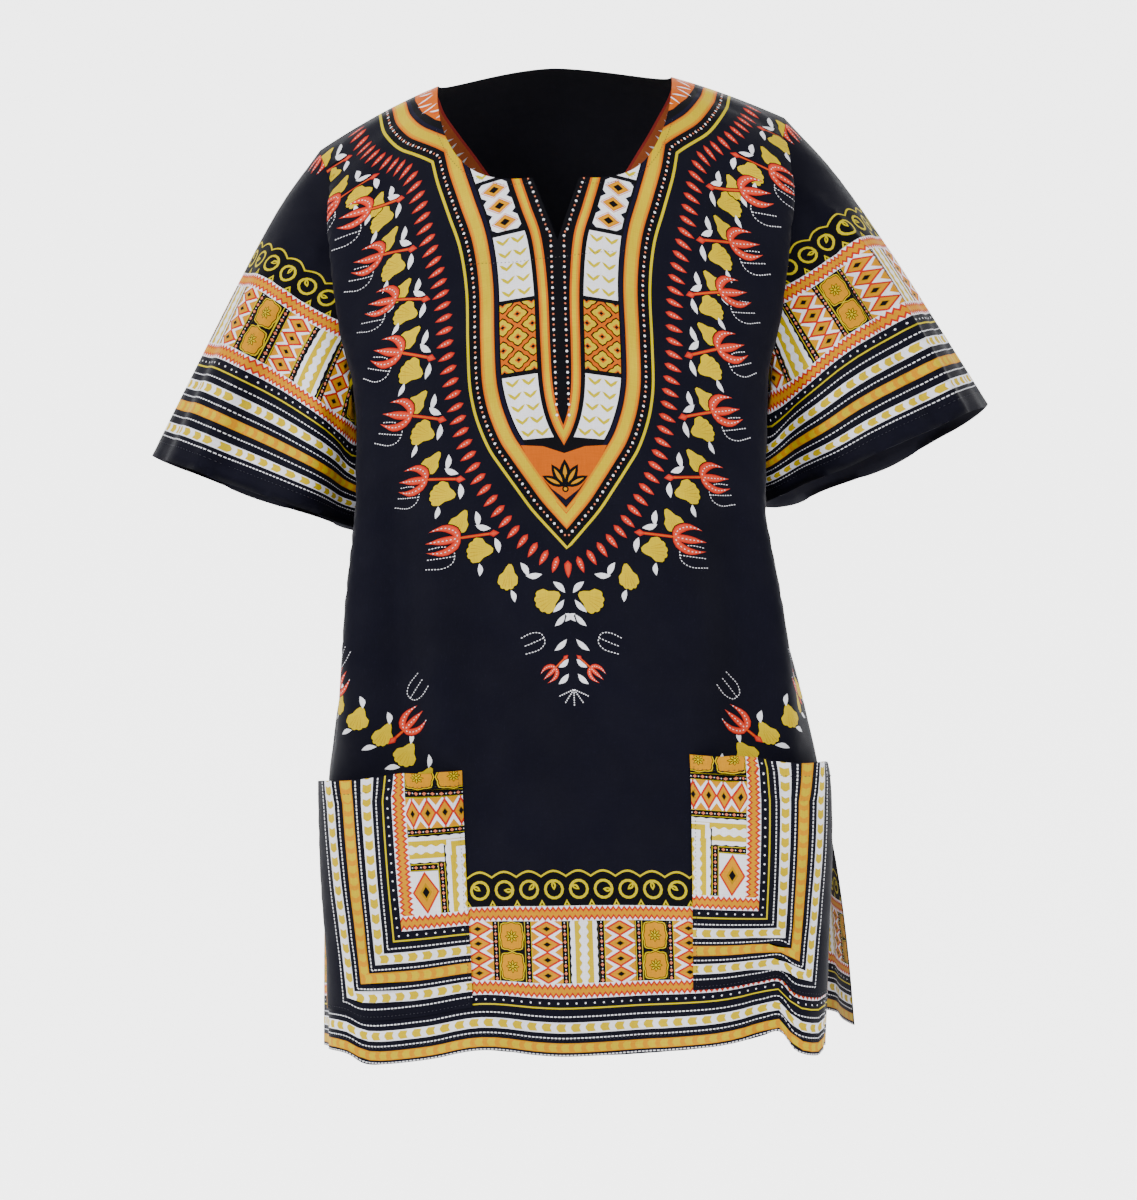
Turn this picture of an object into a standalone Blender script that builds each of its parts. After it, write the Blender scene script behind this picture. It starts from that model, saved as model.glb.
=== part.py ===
"""Dashiki shirt: a loose pullover shirt of printed cotton, worn shape, hollow.

Six pieces of cloth, each a closed wall: front, back, two sleeve tubes and two
patch pockets.  Front and back are lofted through sections.  A section runs from
its middle out to a turn, where the cloth goes round the side, and on to its
edge, which is the armhole, then the side seam, then the side slit.  A sleeve is
lofted from the armhole to the cuff, and a pocket is made from the front's own
points, moved out.

Metres, +Z up, front facing -Y, left and right as seen from the front.  The
origin lies between the shoulders, where the wearer carries the shirt.
"""

import math

import bmesh
import bpy
import numpy as np

WALL = 0.0015            # thickness of the cloth walls
SEAM_GAP = 0.0003        # clear space where two pieces meet
ARMHOLE_DOWN = 0.275     # shoulder line to underarm, measured down the cloth
HEM_DOWN = 0.840         # shoulder line to the hem
SQUARENESS = 2.5         # 2 makes the chest an ellipse, more makes it flatter
SLOPE_POWER = 1.7        # how late a section drops on its way to the edge

NECK_HALF_WIDTH = 0.093  # neck opening, from its middle to the shoulder line
NECK_DEPTH = 0.166       # shoulder line to the bottom of the round front neck
NECK_ROUND = 3.0         # squareness of the round neck
SLIT_HALF_WIDTH = 0.018  # the V-shaped slit under the round neck
SLIT_DEPTH = 0.218       # shoulder line to the bottom of the slit
BACK_NECK_DEPTH = 0.030
NECK_ANGLES = (20, 35, 49, 61, 71, 79, 85, 90)  # where columns begin round the neck, in degrees

# The cloth's sections.  down: distance from the shoulder line.  mid: the middle
# of the panel.  turn: where it goes round the side.  edge: armhole or side edge.
SECTION_COLUMNS = (
    "down", "mid_x", "mid_y", "mid_z", "turn_y", "edge_y",
    "left_turn_x", "left_edge_x", "left_edge_z",
    "right_turn_x", "right_edge_x", "right_edge_z")

FRONT_SECTIONS = (
    (0.000, -0.011, +0.000, +0.016, +0.000, +0.000, -0.165, -0.199, -0.058, 0.142, 0.173, -0.032),
    (0.025, -0.011, -0.025, +0.013, -0.022, -0.020, -0.180, -0.196, -0.066, 0.160, 0.172, -0.041),
    (0.050, -0.011, -0.047, +0.004, -0.042, -0.036, -0.188, -0.188, -0.087, 0.173, 0.167, -0.064),
    (0.100, -0.011, -0.079, -0.030, -0.064, -0.051, -0.189, -0.172, -0.135, 0.177, 0.158, -0.113),
    (0.150, -0.010, -0.099, -0.075, -0.077, -0.056, -0.186, -0.161, -0.184, 0.173, 0.150, -0.163),
    (0.200, -0.009, -0.111, -0.123, -0.084, -0.050, -0.180, -0.155, -0.233, 0.167, 0.146, -0.214),
    (0.275, -0.007, -0.120, -0.197, -0.086, +0.000, -0.168, -0.152, -0.306, 0.156, 0.144, -0.296),
    (0.360, -0.004, -0.125, -0.282, -0.084, +0.000, -0.160, -0.149, -0.372, 0.153, 0.143, -0.362),
    (0.420, -0.002, -0.127, -0.342, -0.080, +0.000, -0.164, -0.158, -0.415, 0.158, 0.152, -0.407),
    (0.480, +0.000, -0.128, -0.402, -0.074, +0.000, -0.173, -0.172, -0.462, 0.171, 0.169, -0.455),
    (0.560, +0.004, -0.128, -0.482, -0.066, +0.000, -0.184, -0.187, -0.525, 0.188, 0.188, -0.520),
    (0.620, +0.006, -0.127, -0.543, -0.060, +0.000, -0.188, -0.192, -0.566, 0.197, 0.200, -0.562),
    (0.700, +0.009, -0.126, -0.623, -0.058, -0.004, -0.190, -0.195, -0.643, 0.202, 0.206, -0.640),
    (0.770, +0.012, -0.125, -0.693, -0.058, -0.008, -0.188, -0.195, -0.710, 0.202, 0.207, -0.708),
    (0.840, +0.014, -0.124, -0.763, -0.058, -0.010, -0.188, -0.195, -0.774, 0.200, 0.205, -0.774))

BACK_SECTIONS = (
    (0.000, -0.011, +0.000, +0.016, +0.000, +0.000, -0.165, -0.199, -0.058, 0.142, 0.173, -0.032),
    (0.025, -0.011, +0.025, +0.013, +0.022, +0.020, -0.180, -0.196, -0.066, 0.160, 0.172, -0.041),
    (0.050, -0.011, +0.046, +0.005, +0.040, +0.034, -0.188, -0.188, -0.087, 0.173, 0.167, -0.064),
    (0.100, -0.010, +0.079, -0.028, +0.060, +0.048, -0.189, -0.172, -0.135, 0.177, 0.158, -0.113),
    (0.150, -0.009, +0.098, -0.073, +0.072, +0.053, -0.186, -0.161, -0.184, 0.173, 0.150, -0.163),
    (0.200, -0.008, +0.107, -0.121, +0.078, +0.047, -0.180, -0.155, -0.233, 0.167, 0.146, -0.214),
    (0.275, -0.006, +0.114, -0.195, +0.080, +0.000, -0.168, -0.152, -0.306, 0.156, 0.144, -0.296),
    (0.360, -0.004, +0.116, -0.280, +0.078, +0.000, -0.160, -0.149, -0.372, 0.153, 0.143, -0.362),
    (0.420, -0.002, +0.116, -0.340, +0.074, +0.000, -0.164, -0.158, -0.415, 0.158, 0.152, -0.407),
    (0.480, +0.000, +0.115, -0.400, +0.070, +0.000, -0.173, -0.172, -0.462, 0.171, 0.169, -0.455),
    (0.560, +0.003, +0.114, -0.480, +0.064, +0.000, -0.184, -0.187, -0.525, 0.188, 0.188, -0.520),
    (0.620, +0.005, +0.114, -0.541, +0.060, +0.000, -0.188, -0.192, -0.566, 0.198, 0.200, -0.562),
    (0.700, +0.007, +0.115, -0.621, +0.060, +0.010, -0.190, -0.193, -0.643, 0.212, 0.216, -0.634),
    (0.770, +0.009, +0.116, -0.691, +0.062, +0.020, -0.191, -0.193, -0.710, 0.218, 0.225, -0.700),
    (0.840, +0.010, +0.117, -0.761, +0.064, +0.026, -0.192, -0.193, -0.772, 0.222, 0.231, -0.765))

# The sleeves' sections, from the armhole to the cuff.  top: the fold over the
# arm.  low: the underarm seam.  fore, aft: how far the cloth stands out to the
# front and the back.  lean: how far the section has moved back.
SLEEVE_COLUMNS = ("along", "top_x", "top_z", "low_x", "low_z", "fore", "aft", "lean", "dip")

LEFT_SLEEVE_SECTIONS = (
    (0.00, -0.199, -0.058, -0.152, -0.306, 0.056, 0.053, 0.000, 0.000),
    (0.22, -0.229, -0.099, -0.159, -0.320, 0.068, 0.064, 0.004, 0.000),
    (0.48, -0.264, -0.163, -0.158, -0.334, 0.075, 0.070, 0.008, 0.000),
    (0.75, -0.301, -0.236, -0.161, -0.348, 0.076, 0.074, 0.010, 0.002),
    (1.00, -0.334, -0.302, -0.163, -0.362, 0.076, 0.078, 0.010, 0.004))

RIGHT_SLEEVE_SECTIONS = (
    (0.00, 0.173, -0.032, 0.144, -0.296, 0.056, 0.053, 0.000, 0.000),
    (0.22, 0.210, -0.071, 0.147, -0.308, 0.068, 0.064, 0.006, 0.000),
    (0.48, 0.254, -0.131, 0.150, -0.318, 0.074, 0.072, 0.012, 0.003),
    (0.75, 0.299, -0.199, 0.153, -0.329, 0.075, 0.079, 0.018, 0.008),
    (1.00, 0.338, -0.260, 0.156, -0.340, 0.075, 0.084, 0.022, 0.014))

# Largest folds: a ridge (rise above 0) or a trough along a straight line on the
# cloth, from (across, down) to (across, down), fading out at both ends.
# Columns: from_across, from_down, to_across, to_down, half_width, rise.
FOLD_FADE = 0.7          # below 1 a fold keeps its height nearly to its ends

FRONT_FOLDS = (
    (-0.136, 0.320, -0.131, 0.640, 0.017, -0.0100),
    (-0.104, 0.370, -0.098, 0.700, 0.020, +0.0090),
    (-0.074, 0.480, -0.078, 0.720, 0.016, -0.0045),
    (-0.172, 0.300, -0.170, 0.640, 0.018, +0.0070),
    (-0.205, 0.330, -0.215, 0.620, 0.018, -0.0070),
    (+0.128, 0.320, +0.132, 0.620, 0.020, -0.0090),
    (+0.158, 0.400, +0.164, 0.640, 0.017, +0.0080),
    (+0.098, 0.360, +0.094, 0.680, 0.020, +0.0055),
    (+0.190, 0.330, +0.198, 0.620, 0.018, -0.0070),
    (-0.020, 0.620, -0.030, 0.900, 0.030, +0.0040),
    (+0.045, 0.660, +0.050, 0.900, 0.026, -0.0040),
    (-0.125, 0.060, -0.160, 0.240, 0.018, -0.0050),
    (+0.124, 0.070, +0.150, 0.230, 0.018, -0.0050))

BACK_FOLDS = (
    (-0.200, 0.330, -0.210, 0.620, 0.018, -0.0070),
    (-0.150, 0.260, -0.135, 0.700, 0.022, +0.0100),
    (-0.100, 0.300, -0.090, 0.900, 0.022, -0.0080),
    (-0.048, 0.280, -0.040, 0.900, 0.024, +0.0080),
    (+0.008, 0.320, +0.012, 0.900, 0.022, -0.0070),
    (+0.060, 0.280, +0.060, 0.900, 0.024, +0.0090),
    (+0.112, 0.320, +0.106, 0.900, 0.022, -0.0080),
    (+0.155, 0.270, +0.150, 0.720, 0.020, +0.0080),
    (+0.192, 0.330, +0.205, 0.620, 0.018, -0.0070),
    (-0.150, 0.080, -0.060, 0.190, 0.018, -0.0050),
    (+0.138, 0.080, +0.055, 0.190, 0.018, -0.0050))

# On a sleeve, across runs round it from the top fold, front side positive, and
# down runs from the armhole to the cuff.
SLEEVE_FOLDS = (
    (+0.060, 0.020, +0.080, 0.330, 0.018, +0.0050),
    (+0.120, 0.030, +0.130, 0.330, 0.017, -0.0060),
    (+0.160, 0.030, +0.172, 0.330, 0.017, +0.0100),
    (+0.205, 0.030, +0.215, 0.330, 0.017, -0.0080),
    (-0.070, 0.030, -0.080, 0.330, 0.018, +0.0060),
    (-0.115, 0.030, -0.125, 0.330, 0.017, -0.0070),
    (-0.165, 0.030, -0.175, 0.330, 0.017, +0.0080),
    (-0.212, 0.030, -0.220, 0.330, 0.017, -0.0060))

# Patch pockets, as shares of the front's half width and distances down it.
POCKET_INNER = 0.31
POCKET_OUTER = 0.82
POCKET_TOP = 0.622
POCKET_BOTTOM = 0.806
RIGHT_POCKET_RAISE = 0.012  # the right pocket is sewn on this much higher
RAISE_FROM = 0.15        # share of the half width where rows begin to rise towards it
POCKET_FULLNESS = 0.026  # how far an open pocket stands off the front
POCKET_FORWARD = 1.0     # how much more it stands out to the front than to the side
POCKET_FADE = 1.5        # how soon its fullness fades towards the bottom

ARMHOLE_INFLUENCE = 0.45 # share of a sleeve over which its armhole's shape fades
SLEEVE_CLEARANCE = 0.0036 # least space between a sleeve and the body beside it
CLEARANCE_REACH = 0.016  # how near a body point is to hold a sleeve's point off
CLEARANCE_PASSES = 3
CLEARANCE_ROW = 6        # the body's first row, from the shoulder, that holds them off
ALIKE = 0.6              # above this cosine a sleeve's edge faces as the body's does

ROWS_TO_ARMHOLE = 17
ROWS_TO_POCKET = 10
ROWS_DOWN_POCKET = 7
ROWS_TO_HEM = 2
SLEEVE_RINGS = 14
RING_SPREAD = 1.25       # above 1 a sleeve's rings stand closer near the armhole
CURVE_STEPS = 60         # fineness of a section before it is divided into columns
SHOULDER_TILT = 0.25     # how far upwards a panel's outer side looks
SMALL = 1e-6
NECK_SHARES = (0.0, 0.04, 0.08, 0.15, 0.235, 0.31, 0.375, 0.44, 0.50, 0.555, 0.61)
SIDE_SHARES = (0.665, 0.715, 0.765, 0.82, 0.865, 0.91, 0.955, 1.0)
SHOULDER_SHARES = (0.565, 0.635, 0.70, 0.765, 0.83, 0.89, 0.955, 1.0)  # where those begin

NAVY = (0.012, 0.014, 0.028, 1.0)
GOLD = (0.83, 0.42, 0.03, 1.0)
ROUGHNESS = 0.85


def start_empty():
    """Remove whatever the scene holds."""
    for thing in list(bpy.data.objects):
        bpy.data.objects.remove(thing, do_unlink=True)


def column(table, columns, name):
    """One named column of a table."""
    return np.array([row[columns.index(name)] for row in table])


def smooth(knots, values, at):
    """A smooth curve through a column's values that never overshoots them."""
    steps = np.diff(values) / np.diff(knots)
    before, after = steps[:-1], steps[1:]
    same_way = before * after > 0
    total = np.where(same_way, before + after, 1.0)
    inner = np.where(same_way, 2 * before * after / total, 0.0)
    slopes = np.concatenate([steps[:1], inner, steps[-1:]])
    at = np.clip(at, knots[0], knots[-1])
    span = np.clip(np.searchsorted(knots, at, side="right") - 1, 0, len(knots) - 2)
    width = knots[span + 1] - knots[span]
    part = (at - knots[span]) / width
    rise = part * part * (3 - 2 * part)
    leave = slopes[span] * width * part * (1 - part) ** 2
    arrive = slopes[span + 1] * width * part * part * (1 - part)
    return values[span] * (1 - rise) + values[span + 1] * rise + leave - arrive


def section_at(sections, down):
    """Every column of the section table, read at one distance down."""
    knots = column(sections, SECTION_COLUMNS, "down")
    return {name: float(smooth(knots, column(sections, SECTION_COLUMNS, name), down))
            for name in SECTION_COLUMNS}


def half_section(section, side):
    """A section's curve from its middle to its left or right edge."""
    mid = np.array([section["mid_x"], section["mid_y"], section["mid_z"]])
    turn = np.array([section[side + "_turn_x"], section["turn_y"]])
    edge = np.array([section[side + "_edge_x"], section["edge_y"]])
    angle = np.linspace(0, math.pi / 2, CURVE_STEPS)
    over = np.sin(angle) ** (2 / SQUARENESS)
    back = 1 - np.cos(angle) ** (2 / SQUARENESS)
    front_x = mid[0] + (turn[0] - mid[0]) * over
    front_y = mid[1] + (turn[1] - mid[1]) * back
    share = np.linspace(0, 1, CURVE_STEPS)[1:]
    side_x = turn[0] + (edge[0] - turn[0]) * share ** 2
    side_y = turn[1] + (edge[1] - turn[1]) * share
    x = np.concatenate([front_x, side_x])
    y = np.concatenate([front_y, side_y])
    length = np.concatenate([[0], np.cumsum(np.hypot(np.diff(x), np.diff(y)))])
    z = mid[2] + (section[side + "_edge_z"] - mid[2]) * (length / length[-1]) ** SLOPE_POWER
    return np.stack([x, y, z], axis=1), length


def panel_point(sections, share, down):
    """The point of a panel at a share of its half width, from -1 to 1."""
    curve, length = half_section(section_at(sections, down), "left" if share < 0 else "right")
    at = abs(share) * length[-1]
    return [np.interp(at, length, curve[:, axis]) for axis in range(3)], math.copysign(at, share)


def fold_rise(folds, across, down):
    """How far the folds lift the cloth at each (across, down)."""
    rise = np.zeros_like(across)
    for from_across, from_down, to_across, to_down, half_width, height in folds:
        run = np.array([to_across - from_across, to_down - from_down])
        length = np.hypot(*run)
        run = run / length
        along = (across - from_across) * run[0] + (down - from_down) * run[1]
        aside = (across - from_across) * run[1] - (down - from_down) * run[0]
        fade = np.sin(np.pi * np.clip(along / length, 0, 1)) ** FOLD_FADE
        rise += height * fade * np.exp(-(aside / half_width) ** 2)
    return rise


def surface_normals(points, outward):
    """Unit normals of a grid of points, all on the side that outward mostly points to."""
    normals = np.cross(np.gradient(points, axis=0), np.gradient(points, axis=1))
    normals /= np.linalg.norm(normals, axis=2, keepdims=True)
    agreement = np.median(np.sum(normals * outward, axis=2))
    return normals if agreement > 0 else -normals


def front_neck_down(across):
    """Distance down to the front neck edge: a round neck with a V slit."""
    across = abs(across)
    if across >= NECK_HALF_WIDTH:
        return 0.0
    depth = NECK_DEPTH * (1 - (across / NECK_HALF_WIDTH) ** NECK_ROUND) ** (1 / NECK_ROUND)
    slit = SLIT_DEPTH - (SLIT_DEPTH - NECK_DEPTH) * across / SLIT_HALF_WIDTH
    return max(depth, slit)


def back_neck_down(across):
    """Distance down to the shallow back neck edge."""
    share = min(abs(across) / NECK_HALF_WIDTH, 1.0)
    return BACK_NECK_DEPTH * (1 - share ** 2) ** 0.5


def neck_tops(neck_down):
    """Where the columns under the neck begin: (across, down) along its edge."""
    angle = np.radians(NECK_ANGLES)
    round_neck = NECK_HALF_WIDTH * np.sin(angle) ** (2 / NECK_ROUND)
    across = [0.0, SLIT_HALF_WIDTH / 2, SLIT_HALF_WIDTH] + round_neck.tolist()
    return [(at, neck_down(at)) for at in across]


def panel_rows():
    """Distances down the panel of its rows, and the row of the underarm."""
    upper = np.linspace(0, ARMHOLE_DOWN, ROWS_TO_ARMHOLE)
    middle = np.linspace(ARMHOLE_DOWN, POCKET_TOP, ROWS_TO_POCKET + 1)[1:]
    pocket = np.linspace(POCKET_TOP, POCKET_BOTTOM, ROWS_DOWN_POCKET + 1)[1:]
    hem = np.linspace(POCKET_BOTTOM, HEM_DOWN, ROWS_TO_HEM + 1)[1:]
    return np.concatenate([upper, middle, pocket, hem])


def panel_shares():
    """Shares of the half width at which the panel's columns stand."""
    half = list(NECK_SHARES + SIDE_SHARES)
    return np.array([-share for share in reversed(half[1:])] + half)


def row_down(row, share):
    """Distance down of a row: rows over the right pocket rise with it."""
    over = np.interp(share, (RAISE_FROM, POCKET_INNER, POCKET_OUTER, 1.0), (0, 1, 1, 0))
    beside = np.interp(row, (ARMHOLE_DOWN, POCKET_TOP, POCKET_BOTTOM, HEM_DOWN), (0, 1, 1, 0))
    return row - RIGHT_POCKET_RAISE * over * beside


def build_panel(sections, folds, neck_down, facing):
    """A panel's points and normals, rows down by columns across."""
    rows = panel_rows()
    shares = panel_shares()
    points = np.zeros((len(rows), len(shares), 3))
    across = np.zeros(points.shape[:2])
    down = np.zeros(points.shape[:2])
    tops = neck_tops(neck_down)
    middle = len(shares) // 2
    for j, share in enumerate(shares):
        from_middle = abs(j - middle)
        if from_middle < len(tops):
            top_across, top_down = tops[from_middle]
            _, edge_across = panel_point(sections, math.copysign(1.0, share), top_down)
            top_share = math.copysign(top_across / abs(edge_across), share)
        else:
            top_share, top_down = math.copysign(SHOULDER_SHARES[from_middle - len(tops)], share), 0.0
        for i, row in enumerate(rows):
            part = min(row / ARMHOLE_DOWN, 1.0)
            down[i, j] = top_down + (ARMHOLE_DOWN - top_down) * part if part < 1 else row_down(row, share)
            at_share = top_share + (share - top_share) * part
            points[i, j], across[i, j] = panel_point(sections, at_share, down[i, j])
    outward = np.array([0.0, facing, SHOULDER_TILT])
    normals = surface_normals(points, outward)
    edge = np.zeros(points.shape[:2], bool)
    edge[:, 0] = edge[:, -1] = True
    points = points + normals * (fold_rise(folds, across, down) * ~edge)[:, :, None]
    normals = surface_normals(points, outward)
    return points, normals


def meet_at_seams(points, normals, facing):
    """Draw a panel back from the shoulder and side seams, to clear its neighbour."""
    shares = panel_shares()
    seam = np.zeros(points.shape[:2], bool)
    seam[0, np.abs(shares) >= NECK_SHARES[-1]] = True
    seam[:, 0] = seam[:, -1] = True
    normals = normals.copy()
    normals[seam, 1] = 0
    normals[seam] /= np.linalg.norm(normals[seam], axis=1, keepdims=True)
    points = points.copy()
    points[seam, 1] += facing * SEAM_GAP / 2
    return points, normals


def armhole_ring(front, back, side):
    """Values round an armhole: down the front panel's edge and up the back's."""
    front_edge = front[:ROWS_TO_ARMHOLE, side]
    back_edge = back[:ROWS_TO_ARMHOLE, side]
    return np.concatenate([front_edge, back_edge[-2:0:-1]])


def finer(grid):
    """A grid with values added half-way between its own, down and across."""
    for axis in (0, 1):
        grid = np.moveaxis(grid, axis, 0)
        fine = np.empty((2 * len(grid) - 1,) + grid.shape[1:])
        fine[::2] = grid
        fine[1::2] = (grid[:-1] + grid[1:]) / 2
        grid = np.moveaxis(fine, 0, axis)
    return grid


def hold_clear(points, panel, normals):
    """A sleeve's points, moved off a body panel where they come too near it."""
    body = finer(panel).reshape(-1, 3)
    facing = finer(normals).reshape(-1, 3)
    for _ in range(CLEARANCE_PASSES):
        reach = np.linalg.norm(points[:, :, None] - body, axis=3)
        nearest = reach.argmin(axis=2)
        depth = np.sum((points - body[nearest]) * facing[nearest], axis=2)
        close = (depth < SLEEVE_CLEARANCE) & (reach.min(axis=2) < CLEARANCE_REACH)
        close[0] = False
        points = points + facing[nearest] * ((SLEEVE_CLEARANCE - depth) * close)[:, :, None]
    return points


def build_sleeve(table, panels, side, outward_x):
    """A sleeve's points and normals, rings along it by points round it."""
    (front, front_normals), (back, back_normals) = panels
    ring_of_armhole = armhole_ring(front, back, side)
    ring_of_armhole[0, 1] = ring_of_armhole[ROWS_TO_ARMHOLE - 1, 1] = 0
    ring_of_armhole[:, 0] += outward_x * SEAM_GAP
    count = len(ring_of_armhole)
    angle = np.arange(count) * 2 * math.pi / count
    knots = column(table, SLEEVE_COLUMNS, "along")
    along = np.linspace(0, 1, SLEEVE_RINGS + 1) ** RING_SPREAD
    read = {name: smooth(knots, column(table, SLEEVE_COLUMNS, name), along)
            for name in SLEEVE_COLUMNS}
    over = (1 - np.cos(angle)) / 2
    front = np.maximum(np.sin(angle), 0)
    rear = np.maximum(-np.sin(angle), 0)
    points = np.zeros((len(along), count, 3))
    for i in range(len(along)):
        points[i, :, 0] = read["top_x"][i] + (read["low_x"][i] - read["top_x"][i]) * over
        points[i, :, 1] = read["lean"][i] - read["fore"][i] * front + read["aft"][i] * rear
        points[i, :, 2] = (read["top_z"][i] + (read["low_z"][i] - read["top_z"][i]) * over
                           - read["dip"][i] * rear)
    settle = np.clip(along / ARMHOLE_INFLUENCE, 0, 1)
    hold = 1 - settle ** 2 * (3 - 2 * settle)
    points += (ring_of_armhole - points[0]) * hold[:, None, None]
    outward = points - points.mean(axis=1, keepdims=True)
    normals = tube_normals(points, outward)
    girth = np.linalg.norm(np.roll(points, -1, axis=1) - points, axis=2)
    round_it = np.cumsum(girth, axis=1) - girth
    round_it = np.where(angle > math.pi, round_it - girth.sum(axis=1, keepdims=True), round_it)
    length = np.linalg.norm(np.diff(points, axis=0), axis=2)
    down = np.concatenate([np.zeros((1, count)), np.cumsum(length, axis=0)])
    rise = fold_rise(SLEEVE_FOLDS, round_it, down) * settle[:, None]
    points = points + normals * rise[:, :, None]
    for panel, panel_normals in panels:
        points = hold_clear(points, panel[CLEARANCE_ROW:], panel_normals[CLEARANCE_ROW:])
    normals = tube_normals(points, outward)
    edge_normals = armhole_ring(front_normals, back_normals, side)
    edge_normals[:, 1] = 0
    edge_normals /= np.linalg.norm(edge_normals, axis=1, keepdims=True)
    alike = np.sum(normals[0] * edge_normals, axis=1, keepdims=True) > ALIKE
    normals[0] = np.where(alike, edge_normals, normals[0])
    return points, normals


def tube_normals(points, outward):
    """Unit normals of a grid that closes on itself across its columns."""
    wrapped = np.concatenate([points[:, -1:], points, points[:, :1]], axis=1)
    spread = np.concatenate([outward[:, -1:], outward, outward[:, :1]], axis=1)
    return surface_normals(wrapped, spread)[:, 1:-1]


def pocket_points(points, normals, side):
    """A pocket's inner points, from the front's points moved out."""
    rows = panel_rows()
    shares = panel_shares() * side
    across = np.flatnonzero((shares > POCKET_INNER - SMALL) & (shares < POCKET_OUTER + SMALL))
    down = np.flatnonzero((rows > POCKET_TOP - SMALL) & (rows < POCKET_BOTTOM + SMALL))
    u = (shares[across] - POCKET_INNER) / (POCKET_OUTER - POCKET_INNER)
    v = (rows[down] - POCKET_TOP) / (POCKET_BOTTOM - POCKET_TOP)
    bulge = np.outer(1 - v ** POCKET_FADE, np.sin(math.pi * u))
    stand_off = SEAM_GAP + POCKET_FULLNESS * bulge
    picked = np.ix_(down, across)
    direction = normals[picked] + np.array([0.0, -POCKET_FORWARD, 0.0]) * (bulge > 0)[:, :, None]
    direction /= np.linalg.norm(direction, axis=2, keepdims=True)
    moved = points[picked] + direction * stand_off[:, :, None]
    return moved, surface_normals(moved, normals[picked])


def grid_triangles(rows, columns, closed):
    """Triangles of a grid's cells, cut along mirrored diagonals left and right."""
    triangles = []
    for i in range(rows - 1):
        for j in range(columns if closed else columns - 1):
            a = i * columns + j
            b = i * columns + (j + 1) % columns
            c, d = a + columns, b + columns
            if closed or 2 * j + 1 >= columns:
                triangles += [(a, b, d), (a, d, c)]
            else:
                triangles += [(a, b, c), (b, d, c)]
    return triangles


def grid_rims(rows, columns, closed):
    """Closed loops of point numbers round a grid's free edges."""
    top = list(range(columns))
    bottom = [(rows - 1) * columns + j for j in range(columns)]
    if closed:
        return [top, bottom]
    right = [i * columns + columns - 1 for i in range(1, rows - 1)]
    left = [i * columns for i in range(rows - 2, 0, -1)]
    return [top + right + bottom[::-1] + left]


def cloth_wall(name, outer, inner, closed, colour):
    """A closed solid between two grids of points, as one named object."""
    rows, columns = outer.shape[:2]
    count = rows * columns
    skin = grid_triangles(rows, columns, closed)
    faces = list(skin) + [(c + count, b + count, a + count) for a, b, c in skin]
    for rim in grid_rims(rows, columns, closed):
        for a, b in zip(rim, rim[1:] + rim[:1]):
            faces += [(a, b, b + count), (a, b + count, a + count)]
    points = np.concatenate([outer.reshape(-1, 3), inner.reshape(-1, 3)])
    mesh = bpy.data.meshes.new(name)
    mesh.from_pydata(points.tolist(), [], faces)
    tidy = bmesh.new()
    tidy.from_mesh(mesh)
    bmesh.ops.recalc_face_normals(tidy, faces=tidy.faces)
    tidy.to_mesh(mesh)
    tidy.free()
    mesh.shade_smooth()
    mesh.materials.append(cloth_material(name + "_cotton", colour))
    piece = bpy.data.objects.new(name, mesh)
    bpy.context.scene.collection.objects.link(piece)
    return piece


def cloth_material(name, colour):
    """Matt printed cotton in one colour."""
    material = bpy.data.materials.new(name)
    material.use_nodes = True
    shader = material.node_tree.nodes["Principled BSDF"]
    shader.inputs["Base Color"].default_value = colour
    shader.inputs["Roughness"].default_value = ROUGHNESS
    shader.inputs["Metallic"].default_value = 0.0
    return material


def build_shirt():
    """All six pieces of the shirt."""
    front, front_normals = build_panel(FRONT_SECTIONS, FRONT_FOLDS, front_neck_down, -1)
    back, back_normals = build_panel(BACK_SECTIONS, BACK_FOLDS, back_neck_down, 1)
    sleeves = {}
    panels = ((front, front_normals), (back, back_normals))
    sleeves["left"] = build_sleeve(LEFT_SLEEVE_SECTIONS, panels, 0, -1)
    sleeves["right"] = build_sleeve(RIGHT_SLEEVE_SECTIONS, panels, -1, 1)
    front, front_normals = meet_at_seams(front, front_normals, -1)
    back, back_normals = meet_at_seams(back, back_normals, 1)
    cloth_wall("front", front, front - front_normals * WALL, False, NAVY)
    cloth_wall("back", back, back - back_normals * WALL, False, NAVY)
    for side, (points, normals) in sleeves.items():
        cloth_wall("sleeve_" + side, points, points - normals * WALL, True, NAVY)
    for side, sign in (("left", -1), ("right", 1)):
        points, normals = pocket_points(front, front_normals, sign)
        cloth_wall("pocket_" + side, points + normals * WALL, points, False, GOLD)


start_empty()
build_shirt()
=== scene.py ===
"""Dashiki shirt, dressed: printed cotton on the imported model's own forms.

Each piece is a thin closed shell of cloth.  It is laid out flat, its print is
cut into the flat cloth as shapes, and the cloth is then put on the worn surface
of the piece, which is built from the same sections as the solid.  across runs
from a piece's middle, to the right as the front is seen, and down runs from the
shoulder line.  Metres, +Z up, the front faces -Y.
"""

import math

import bpy
import numpy as np
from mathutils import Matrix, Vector
from mathutils.geometry import delaunay_2d_cdt


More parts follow.
